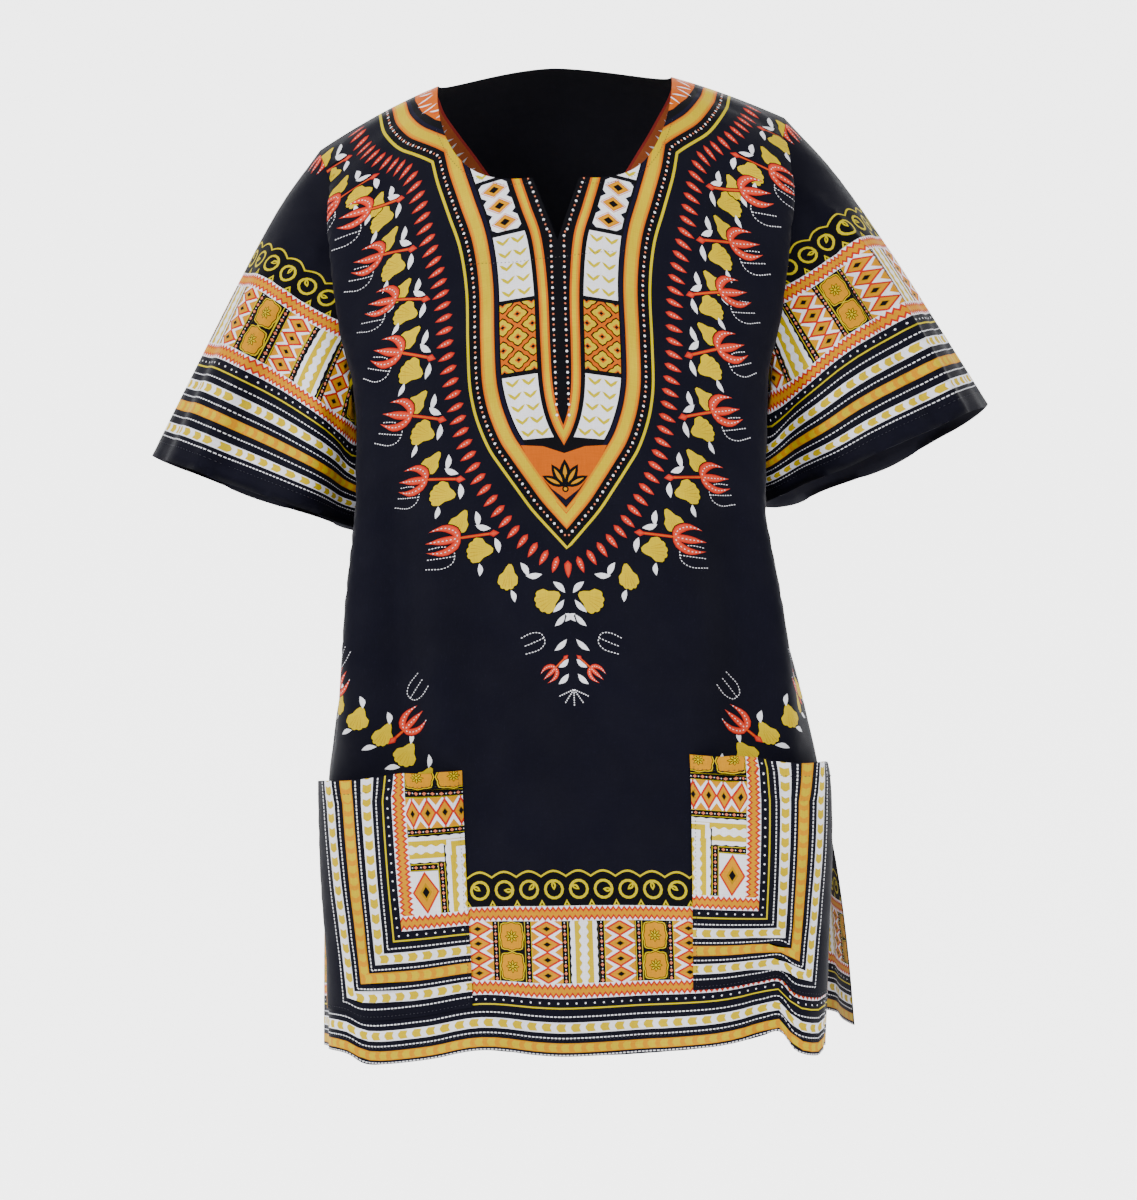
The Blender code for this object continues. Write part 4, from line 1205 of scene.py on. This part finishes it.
def pocket_print():
    """A corner of the border: across from the inner edge, down from the mouth."""
    canvas = Canvas()
    width, height = POCKET_WIDTH, POCKET_HEIGHT
    corner = (0.0460 + TOOTH_BAND / 2, 0.1140 + TOOTH_BAND / 2)
    legs = curve([(corner[0], -0.02), corner], 0.004), curve([corner, (-0.02, corner[1])], 0.004)
    path = np.vstack([legs[0], legs[1][1:]])
    inner_x, inner_y = corner[0] - TOOTH_BAND, corner[1] - TOOTH_BAND

    def turned(x, y):
        return lambda points: [(x + v * MM, y + u * MM) for u, v in points]

    canvas.fill(rect(-0.02, -0.02, inner_x, inner_y), WHITE)
    canvas.fill(rect(-0.02, -0.02, inner_x, 0.014), INK)
    for x in (0.006, 0.0295):
        draw_cartouche(canvas, spot(x, 0.0035), 22.0, 19.0, 4.6)
    for draw, y, wide in ((draw_beads, 0.014, 5.2), (draw_lattice, 0.0192, 23.0), (draw_beads, 0.0422, 5.2),
                          (draw_waves, 0.0474, 22.0)):
        draw(canvas, turned(-0.004, y), wide, (inner_x + 0.004) / MM)
    draw_waves(canvas, spot(-0.007, 0.0560), 22.0, (inner_y - 0.0560) / MM)
    canvas.fill(rect(-0.02, 0.0520, 0.013, 0.0640), WHITE)
    canvas.fill([(-0.004, 0.0535), (0.010, 0.0535), (0.010, 0.0600), (0.0095, 0.0700), (0.0065, 0.0700),
                 (0.0065, 0.0580), (-0.004, 0.0575)], YELLOW)
    canvas.fill(rect(0.015, 0.0694, inner_x, inner_y), INK)
    draw_beads(canvas, turned(0.0155, 0.0694), 5.2, (inner_x - 0.0155) / MM)
    draw_beads(canvas, spot(0.0150, 0.0694), 5.2, (inner_y - 0.0694) / MM)
    low_x, low_y = 0.0205, 0.0750
    canvas.fill(rect(low_x, low_y, inner_x, inner_y), WHITE)
    middle = spot((low_x + inner_x) / 2, (low_y + inner_y) / 2)
    for share, colour in ((1.0, RED), (0.84, AMBER), (0.44, OCHRE), (0.26, INK)):
        canvas.fill(middle(diamond((inner_x - low_x) / MM * share, (inner_y - low_y) / MM * share)), colour)
    canvas.fill([(corner[0], -0.02), (0.3, -0.02), (0.3, 0.4), (-0.02, 0.4), (-0.02, corner[1]), corner],
                NAVY)
    for leg in legs:
        draw_zigzag(canvas, leg, 0.0)
    canvas.dots(beside(path, -0.0032), 0.007, 0.0008)
    canvas.fill(ribbon(path, -0.0062, -0.0074), LIME)
    for at in (0.0120, 0.0268, 0.0408, 0.0560):
        draw_fine_line(canvas, path, -at)
    for low, high, ground in ((0.0152, 0.0232, WHITE), (0.0292, 0.0372, AMBER), (0.0438, 0.0518, WHITE)):
        draw_stripe(canvas, path, -high, -low, ground)
    canvas.fill(rect(width - 0.009, height - 0.020, width, height), AMBER)
    canvas.fill(rect(width - 0.0055, height - 0.020, width - 0.0045, height), YELLOW)
    return canvas


# Making cloth

CLOTH_GRID = 0.0096       # spacing of the cloth's own points
CUT_SCALE = 1000.0        # the cut is made in millimetres
BAKE_MARGIN = 0.004
BAKE_SHARE = 0.66         # of the bake map, for the right side of the cloth
STITCH_PITCH, STITCH_LENGTH, STITCH_THICK = 0.0030, 0.0022, 0.0006
STITCH_SUNK = 0.0002      # how deep a stitch's ends sit in the cloth


def link_object(name, data):
    made = bpy.data.objects.new(name, data)
    bpy.context.scene.collection.objects.link(made)
    return made


def cut_flat(outline, canvas):
    """The flat cloth with its print cut in: points, triangles, each triangle's colour."""
    low, high = outline.min(axis=0), outline.max(axis=0)
    size = high - low
    flat = list(outline)
    for i in range(1, int(size[1] / (CLOTH_GRID * 0.866))):
        for j in range(1, int(size[0] / CLOTH_GRID)):
            flat.append((low[0] + (j + 0.5 * (i % 2)) * CLOTH_GRID, low[1] + i * CLOTH_GRID * 0.866))
    faces, colours = [turn_left(outline, 0)], [canvas.ground]
    for points, colour in canvas.shapes:
        p = np.asarray(points)
        if (p.max(axis=0) < low).any() or (p.min(axis=0) > high).any():
            continue
        faces.append(turn_left(p, len(flat)))
        colours.append(colour)
        flat += points
    flat = [Vector((x * CUT_SCALE, y * CUT_SCALE)) for x, y in flat]
    verts, _, cut_faces, _, _, owners = delaunay_2d_cdt(flat, [], faces, 1, 1e-3)
    keep = [i for i, own in enumerate(owners) if 0 in own]
    triangles = np.array([cut_faces[i] for i in keep])
    top = np.array([max(owners[i]) for i in keep])
    used, index = np.unique(triangles, return_inverse=True)
    at = np.array([(v[0], v[1]) for v in verts]) / CUT_SCALE
    return at[used], index.reshape(triangles.shape), np.array(colours)[top]


def rim_of(triangles, count):
    """Faces that close a shell along its edge; the inner points are numbered count higher."""
    edges = np.concatenate([triangles[:, [0, 1]], triangles[:, [1, 2]], triangles[:, [2, 0]]])
    known = set(map(tuple, edges.tolist()))
    faces = []
    for p, q in [edge for edge in known if edge[::-1] not in known]:
        faces += [(p, p + count, q + count), (p, q + count, q)]
    return np.array(faces)


def cloth(name, surface, outline, canvas, material):
    """A closed shell of printed cloth: cut flat, printed, then put on its surface."""
    outline = np.asarray(outline, float)
    at, triangles, shade = cut_flat(outline, canvas)
    across, down = at[:, 0], at[:, 1]
    outer = surface.at(across, down)
    normals = cross_normals(surface.at, across, down, surface.outward(across, down))
    inner = outer - surface.seam_normals(across, down, normals) * WALL
    a, b, c = (outer[triangles[:, k]] for k in range(3))
    facing = np.sum(np.cross(b - a, c - a) * normals[triangles[:, 0]], axis=1)
    if np.median(facing) < 0:
        triangles = triangles[:, ::-1]
    count = len(at)
    rim = rim_of(triangles, count)
    faces = np.concatenate([triangles, triangles[:, ::-1] + count, rim])
    mesh = bpy.data.meshes.new(name)
    mesh.from_pydata(np.concatenate([outer, inner]).tolist(), [], faces.tolist())

    grey = shade.mean(axis=1, keepdims=True)
    wrong_side = shade * 0.70 + grey * 0.10 + np.array([0.006, 0.006, 0.009])
    rim_shade = np.tile(np.array(canvas.ground) * 1.6, (len(rim), 1))
    rgb = np.concatenate([shade, wrong_side, rim_shade])
    rgba = np.concatenate([rgb, np.ones((len(rgb), 1))], axis=1)
    layer = mesh.color_attributes.new(name="print", type="FLOAT_COLOR", domain="CORNER")
    layer.data.foreach_set("color", np.repeat(rgba, 3, axis=0).ravel())
    place = mesh.attributes.new(name="cut", type="FLOAT_VECTOR", domain="POINT")
    flat_place = np.zeros((count * 2, 3))
    flat_place[:count, :2] = flat_place[count:, :2] = at
    place.data.foreach_set("vector", flat_place.ravel())

    low = outline.min(axis=0)
    both = np.concatenate(bake_places(at, low, outline.max(axis=0) - low))
    rim_outside = np.where(rim >= count, rim - count, rim)
    face_uv = both[np.concatenate([faces[:-len(rim)], rim_outside])]
    mesh.uv_layers.new(name="OFBake").data.foreach_set("uv", face_uv.reshape(-1))
    mesh.shade_smooth()
    mesh.normals_split_custom_set_from_vertices(np.concatenate([normals, -normals]).tolist())
    mesh.materials.append(material)
    piece = link_object(name, mesh)
    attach(piece, "root")
    return piece


def bake_places(at, low, size):
    """Places in the bake map: the right side large, the wrong side beside it."""
    narrow = 0 if size[1] >= size[0] else 1
    room = 1 - 3 * BAKE_MARGIN
    longest = (1 - 2 * BAKE_MARGIN) / size[1 - narrow]
    big = min(room * BAKE_SHARE / size[narrow], longest)
    small = min((room - big * size[narrow]) / size[narrow], longest)
    corner = np.full(2, BAKE_MARGIN)
    corner[narrow] = 2 * BAKE_MARGIN + big * size[narrow]
    return (at - low) * big + BAKE_MARGIN, (at - low) * small + corner


def turn_left(points, start):
    """A shape's point numbers, with its inside on the left, ending at its outermost edge."""
    p = np.asarray(points)
    x, y = p[:, 0], p[:, 1]
    area = np.sum(x * np.roll(y, -1) - np.roll(x, -1) * y)
    order = np.arange(len(p)) if area > 0 else np.arange(len(p))[::-1]
    first = int(np.argmin(x[order]))
    return (np.roll(order, -first - 1) + start).tolist()


def sew(name, surface, paths, material):
    """Rows of sewn stitches along paths on a flat piece, as small raised grains."""
    verts, faces = [], []
    for path in paths:
        x, y, angle = np.array(stations(curve(path, 0.0015), STITCH_PITCH, STITCH_PITCH / 2)).T
        step_x, step_y = np.cos(angle) * STITCH_LENGTH / 2, np.sin(angle) * STITCH_LENGTH / 2
        centre = surface.at(x, y)
        ahead, behind = surface.at(x + step_x, y + step_y), surface.at(x - step_x, y - step_y)
        normal = cross_normals(surface.at, x, y, surface.outward(x, y))
        side = np.cross(normal, ahead - behind)
        side /= np.linalg.norm(side, axis=1, keepdims=True)
        for i in range(len(x)):
            base = len(verts)
            up, out = normal[i], side[i] * STITCH_THICK / 2
            verts += [behind[i] - up * STITCH_SUNK, ahead[i] - up * STITCH_SUNK,
                      centre[i] + out + up * STITCH_SUNK * 0.3, centre[i] - out + up * STITCH_SUNK * 0.3,
                      centre[i] + up * (STITCH_THICK * 0.5 + STITCH_SUNK), centre[i] - up * STITCH_SUNK]
            faces += [(base, base + 2, base + 4), (base + 2, base + 1, base + 4),
                      (base + 1, base + 3, base + 4), (base + 3, base, base + 4),
                      (base + 2, base, base + 5), (base + 1, base + 2, base + 5),
                      (base + 3, base + 1, base + 5), (base, base + 3, base + 5)]
    mesh = bpy.data.meshes.new("stitches_" + name)
    mesh.from_pydata([tuple(v) for v in verts], [], faces)
    mesh.shade_smooth()
    mesh.materials.append(material)
    piece = link_object("stitches_" + name, mesh)
    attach(piece, "root")


# Materials

def new_material(name):
    """A material with its tree, its links and its shader."""
    material = bpy.data.materials.new(name)
    material.use_nodes = True
    tree = material.node_tree
    return material, tree.nodes, tree.links, tree.nodes["Principled BSDF"]


def add_node(nodes, kind, **inputs):
    """A node with the values of its inputs; a name's underscores stand for spaces."""
    node = nodes.new(kind)
    for name, value in inputs.items():
        node.inputs[name.replace("_", " ")].default_value = value
    return node


def cotton(name):
    """Printed plain-weave cotton: the print, faded and slubbed, over a fine weave."""
    material, nodes, links, shader = new_material(name)
    shader.inputs["Sheen Weight"].default_value = 0.03
    shader.inputs["Sheen Roughness"].default_value = 0.45
    shader.inputs["Specular IOR Level"].default_value = 0.09
    printed, cut = nodes.new("ShaderNodeAttribute"), nodes.new("ShaderNodeAttribute")
    printed.attribute_name, cut.attribute_name = "print", "cut"

    def noise(scale, stretch, detail=2.0):
        mapping = add_node(nodes, "ShaderNodeMapping", Scale=stretch)
        texture = add_node(nodes, "ShaderNodeTexNoise", Scale=scale, Detail=detail)
        links.new(cut.outputs["Vector"], mapping.inputs["Vector"])
        links.new(mapping.outputs["Vector"], texture.inputs["Vector"])
        return texture.outputs["Fac"]

    def ranged(value, low, high):
        spread = add_node(nodes, "ShaderNodeMapRange", From_Min=0.3, From_Max=0.7, To_Min=low, To_Max=high)
        links.new(value, spread.inputs["Value"])
        return spread.outputs["Result"]

    def joined(operation, a, b):
        result = nodes.new("ShaderNodeMath")
        result.operation = operation
        links.new(a, result.inputs[0])
        links.new(b, result.inputs[1])
        return result.outputs["Value"]

    def threads(direction):
        wave = add_node(nodes, "ShaderNodeTexWave", Scale=330.0, Distortion=0.4)
        wave.bands_direction = direction
        links.new(cut.outputs["Vector"], wave.inputs["Vector"])
        return wave.outputs["Fac"]

    wear = ranged(noise(14.0, (1, 1, 1)), 0.90, 1.10)
    warp = ranged(noise(60.0, (26, 1, 1)), 0.93, 1.07)
    weft = ranged(noise(60.0, (1, 26, 1)), 0.93, 1.07)
    scaled = nodes.new("ShaderNodeVectorMath")
    scaled.operation = "SCALE"
    links.new(printed.outputs["Color"], scaled.inputs[0])
    links.new(joined("MULTIPLY", wear, joined("MULTIPLY", warp, weft)), scaled.inputs["Scale"])
    links.new(scaled.outputs["Vector"], shader.inputs["Base Color"])
    links.new(ranged(noise(30.0, (1, 1, 1)), 0.68, 0.82), shader.inputs["Roughness"])
    bump = add_node(nodes, "ShaderNodeBump", Strength=0.25, Distance=0.0002)
    rumple = add_node(nodes, "ShaderNodeBump", Strength=0.35, Distance=0.0015)
    links.new(joined("ADD", threads("X"), threads("Y")), bump.inputs["Height"])
    links.new(noise(22.0, (1, 1, 1), 3.0), rumple.inputs["Height"])
    links.new(bump.outputs["Normal"], rumple.inputs["Normal"])
    links.new(rumple.outputs["Normal"], shader.inputs["Normal"])
    return material


def thread_material(name, colour):
    """Sewing thread with a twist along it."""
    material, nodes, links, shader = new_material(name)
    place = nodes.new("ShaderNodeTexCoord")
    twist = add_node(nodes, "ShaderNodeTexNoise", Scale=1500.0)
    ramp = nodes.new("ShaderNodeValToRGB")
    for element, share in zip(ramp.color_ramp.elements, (0.7, 1.2)):
        element.color = tuple(share * c for c in colour) + (1.0,)
    links.new(place.outputs["Object"], twist.inputs["Vector"])
    links.new(twist.outputs["Fac"], ramp.inputs["Fac"])
    links.new(ramp.outputs["Color"], shader.inputs["Base Color"])
    links.new(twist.outputs["Fac"], shader.inputs["Roughness"])
    return material


# Flat outlines

def front_neck_down(across):
    """Distance down to the front neck edge: a round neck with a V slit."""
    across = abs(across)
    if across >= NECK_HALF_WIDTH:
        return 0.0
    depth = NECK_DEPTH * (1 - (across / NECK_HALF_WIDTH) ** NECK_ROUND) ** (1 / NECK_ROUND)
    return max(depth, SLIT_DEPTH - (SLIT_DEPTH - NECK_DEPTH) * across / SLIT_HALF_WIDTH)


def back_neck_down(across):
    """Distance down to the shallow back neck edge."""
    share = min(abs(across) / NECK_HALF_WIDTH, 1.0)
    return BACK_NECK_DEPTH * (1 - share ** 2) ** 0.5


def panel_outline(panel, neck_down):
    """A panel's cut edge: shoulder, neck, shoulder, side, hem, side."""
    left, right = -float(panel.half_width(0.0, False)), float(panel.half_width(0.0, True))
    points = [(x, 0.0) for x in np.linspace(left, -NECK_HALF_WIDTH, 24)[:-1]]
    angle = np.linspace(-math.pi / 2, math.pi / 2, 121)
    slit = {-SLIT_HALF_WIDTH, 0.0, SLIT_HALF_WIDTH}
    neck = sorted(set(np.round(NECK_HALF_WIDTH * np.sin(angle), 6)) | slit)
    points += [(x, neck_down(x)) for x in neck]
    points += [(x, 0.0) for x in np.linspace(NECK_HALF_WIDTH, right, 24)[1:]]
    downs = np.linspace(0, HEM_DOWN, 211)
    points += [(float(panel.half_width(d, True)), d) for d in downs[1:]]
    right, left = points[-1][0], -float(panel.half_width(HEM_DOWN, False))
    points += [(x, HEM_DOWN) for x in np.linspace(right, left, 141)[1:]]
    points += [(-float(panel.half_width(d, False)), d) for d in downs[-2:0:-1]]
    return points


def sleeve_outline(sleeve):
    """A sleeve's cut edge: cuff, seam, armhole, seam."""
    half = SLEEVE_HALF_GIRTH - 0.0002
    cuff = np.linspace(-half, half, 136)
    side = np.linspace(0, 1, 16)
    points = [(x, 0.0) for x in cuff]
    points += [(half, float(sleeve.reach(half)) * v) for v in side[1:]]
    points += [(x, float(sleeve.reach(x))) for x in cuff[-2:0:-1]]
    points += [(-half, float(sleeve.reach(-half)) * v) for v in side[:0:-1]]
    return points


def pocket_outline():
    across, down = np.linspace(0, POCKET_WIDTH, 37), np.linspace(0, POCKET_HEIGHT, 47)
    return ([(x, 0.0) for x in across] + [(POCKET_WIDTH, y) for y in down[1:]]
            + [(x, POCKET_HEIGHT) for x in across[-2::-1]] + [(0.0, y) for y in down[-2:0:-1]])


# The shirt

front = Panel(FRONT_SECTIONS, FRONT_FOLDS, FRONT_CREASES, FRONT_HEM, -1)
back = Panel(BACK_SECTIONS, BACK_FOLDS, BACK_CREASES, BACK_HEM, 1)
sleeves = {"left": Sleeve(LEFT_SLEEVE_SECTIONS, LEFT_SLEEVE_CREASES, front, back, -1),
           "right": Sleeve(RIGHT_SLEEVE_SECTIONS, RIGHT_SLEEVE_CREASES, front, back, 1)}
pockets = {"left": Pocket(front, -1), "right": Pocket(front, 1)}

shirt = {"front": (front, panel_outline(front, front_neck_down), front_print()),
         "back": (back, panel_outline(back, back_neck_down), back_print())}
for side in ("left", "right"):
    shirt["sleeve_" + side] = (sleeves[side], sleeve_outline(sleeves[side]), sleeve_print(side))
    shirt["pocket_" + side] = (pockets[side], pocket_outline(), pocket_print())

for node, (surface, outline, printed) in shirt.items():
    piece = cloth("cloth_" + node, surface, outline, printed, cotton("printed_cotton_" + node))
    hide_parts(node)

# Sewing: hems, cuffs, neck edges, the facing's line and the pockets

dark_thread = thread_material("dark_thread", (0.020, 0.020, 0.034))
facing_thread = thread_material("facing_thread", (0.045, 0.032, 0.030))
HEM_TURN = 0.0125         # from a hem's or a cuff's edge to its sewing
NECK_TURN = 0.0045
POCKET_TURN = 0.0028
POCKET_MOUTH_TURN = 0.011


def straight(start, end, steps=12):
    return [(start[0] + (end[0] - start[0]) * i / steps, start[1] + (end[1] - start[1]) * i / steps)
            for i in range(steps + 1)]


def neck_line(neck_down, distance):
    """A line of sewing that follows the neck edge at a distance."""
    edge = [(x, neck_down(x)) for x in NECK_HALF_WIDTH * np.sin(np.linspace(-1.35, 1.35, 61))]
    return beside(np.array(edge), distance)


for name, panel in (("front", front), ("back", back)):
    half, down = 0.96 * float(panel.half_width(HEM_DOWN, True)), HEM_DOWN - HEM_TURN
    sew("hem_" + name, panel, [straight((-half, down), (half, down), 40)], dark_thread)
sew("neck_back", back, [neck_line(back_neck_down, NECK_TURN)], dark_thread)
for side, sign in (("left", -1), ("right", 1)):
    edge = [(sign * x, front_neck_down(x)) for x in np.linspace(0.088, SLIT_HALF_WIDTH, 40)]
    slit = [(sign * (x + NECK_TURN), front_neck_down(x)) for x in np.linspace(SLIT_HALF_WIDTH, 0.0, 12)]
    sew("neck_" + side, front, [beside(np.array(edge), NECK_TURN * -sign), slit], dark_thread)
    half = 0.97 * SLEEVE_HALF_GIRTH
    sew("cuff_" + side, sleeves[side], [straight((-half, HEM_TURN), (half, HEM_TURN), 40)], dark_thread)
    near, far, low = POCKET_TURN, POCKET_WIDTH - POCKET_TURN, POCKET_HEIGHT - POCKET_TURN
    mouth = straight((0.001, POCKET_MOUTH_TURN), (POCKET_WIDTH - 0.001, POCKET_MOUTH_TURN))
    sew("pocket_" + side, pockets[side],
        [mouth, straight((near, 0.002), (near, low)), straight((near, low), (far, low)),
         straight((far, low), (far, 0.002))], dark_thread)
sew("facing", front, [FACING_SEAM], facing_thread)

# Camera, light and floor
VIEW_HEIGHT = -0.4176     # the camera looks straight ahead, level with the waist
VIEW_DISTANCE = 3.0
VIEW_WIDTH = 0.9096       # what the picture spans at the shirt
camera_data = bpy.data.cameras.new("camera")
camera_data.sensor_fit = "HORIZONTAL"
camera_data.sensor_width = 36.0
camera_data.lens = camera_data.sensor_width * VIEW_DISTANCE / VIEW_WIDTH
camera = link_object("camera", camera_data)
camera.location = (0.0, -VIEW_DISTANCE, VIEW_HEIGHT)
camera.rotation_euler = (math.pi / 2, 0.0, 0.0)
bpy.context.scene.camera = camera


def softbox(name, place, size, power):
    """A rectangular light that faces the shirt."""
    data = bpy.data.lights.new(name, "AREA")
    data.shape = "RECTANGLE"
    data.size, data.size_y = size
    data.energy = power
    lamp = link_object(name, data)
    lamp.location = place
    aim = Vector((0.0, 0.0, -0.40)) - Vector(place)
    lamp.rotation_euler = aim.to_track_quat("-Z", "Y").to_euler()


def backdrop(name, corners):
    """A plane of the stage through four corners; returns its shader."""
    mesh = bpy.data.meshes.new(name)
    mesh.from_pydata(corners, [], [(0, 1, 2, 3)])
    material, _, _, shader = new_material(name)
    mesh.materials.append(material)
    plane = link_object(name, mesh)
    return shader


softbox("key", (-2.4, -2.2, 1.3), (1.4, 1.4), 92.0)
softbox("fill", (2.3, -1.9, 0.3), (1.4, 1.8), 26.0)
softbox("behind", (0.4, 2.4, 1.0), (2.0, 1.4), 30.0)
world = bpy.data.worlds.new("studio")
world.use_nodes = True
world.node_tree.nodes["Background"].inputs["Color"].default_value = (1.0, 1.0, 1.0, 1.0)
world.node_tree.nodes["Background"].inputs["Strength"].default_value = 1.0
bpy.context.scene.world = world

# The floor, and a lit white wall far behind, as in a studio
FLOOR_DOWN, FLOOR_HALF = -1.75, 4.6
WALL_BACK, WALL_HALF, WALL_TOP = 4.6, 7.0, 4.5
floor = backdrop("floor", [(x * FLOOR_HALF, y * FLOOR_HALF, FLOOR_DOWN) for x, y in rect(-1, -1, 1, 1)])
floor.inputs["Base Color"].default_value = (0.92, 0.92, 0.92, 1.0)
floor.inputs["Roughness"].default_value = 0.9
lit_wall = backdrop("studio_wall",
                    [(x, WALL_BACK, z) for x, z in rect(-WALL_HALF, FLOOR_DOWN, WALL_HALF, WALL_TOP)])
lit_wall.inputs["Emission Color"].default_value = (1.0, 1.0, 1.0, 1.0)
lit_wall.inputs["Emission Strength"].default_value = 3.0
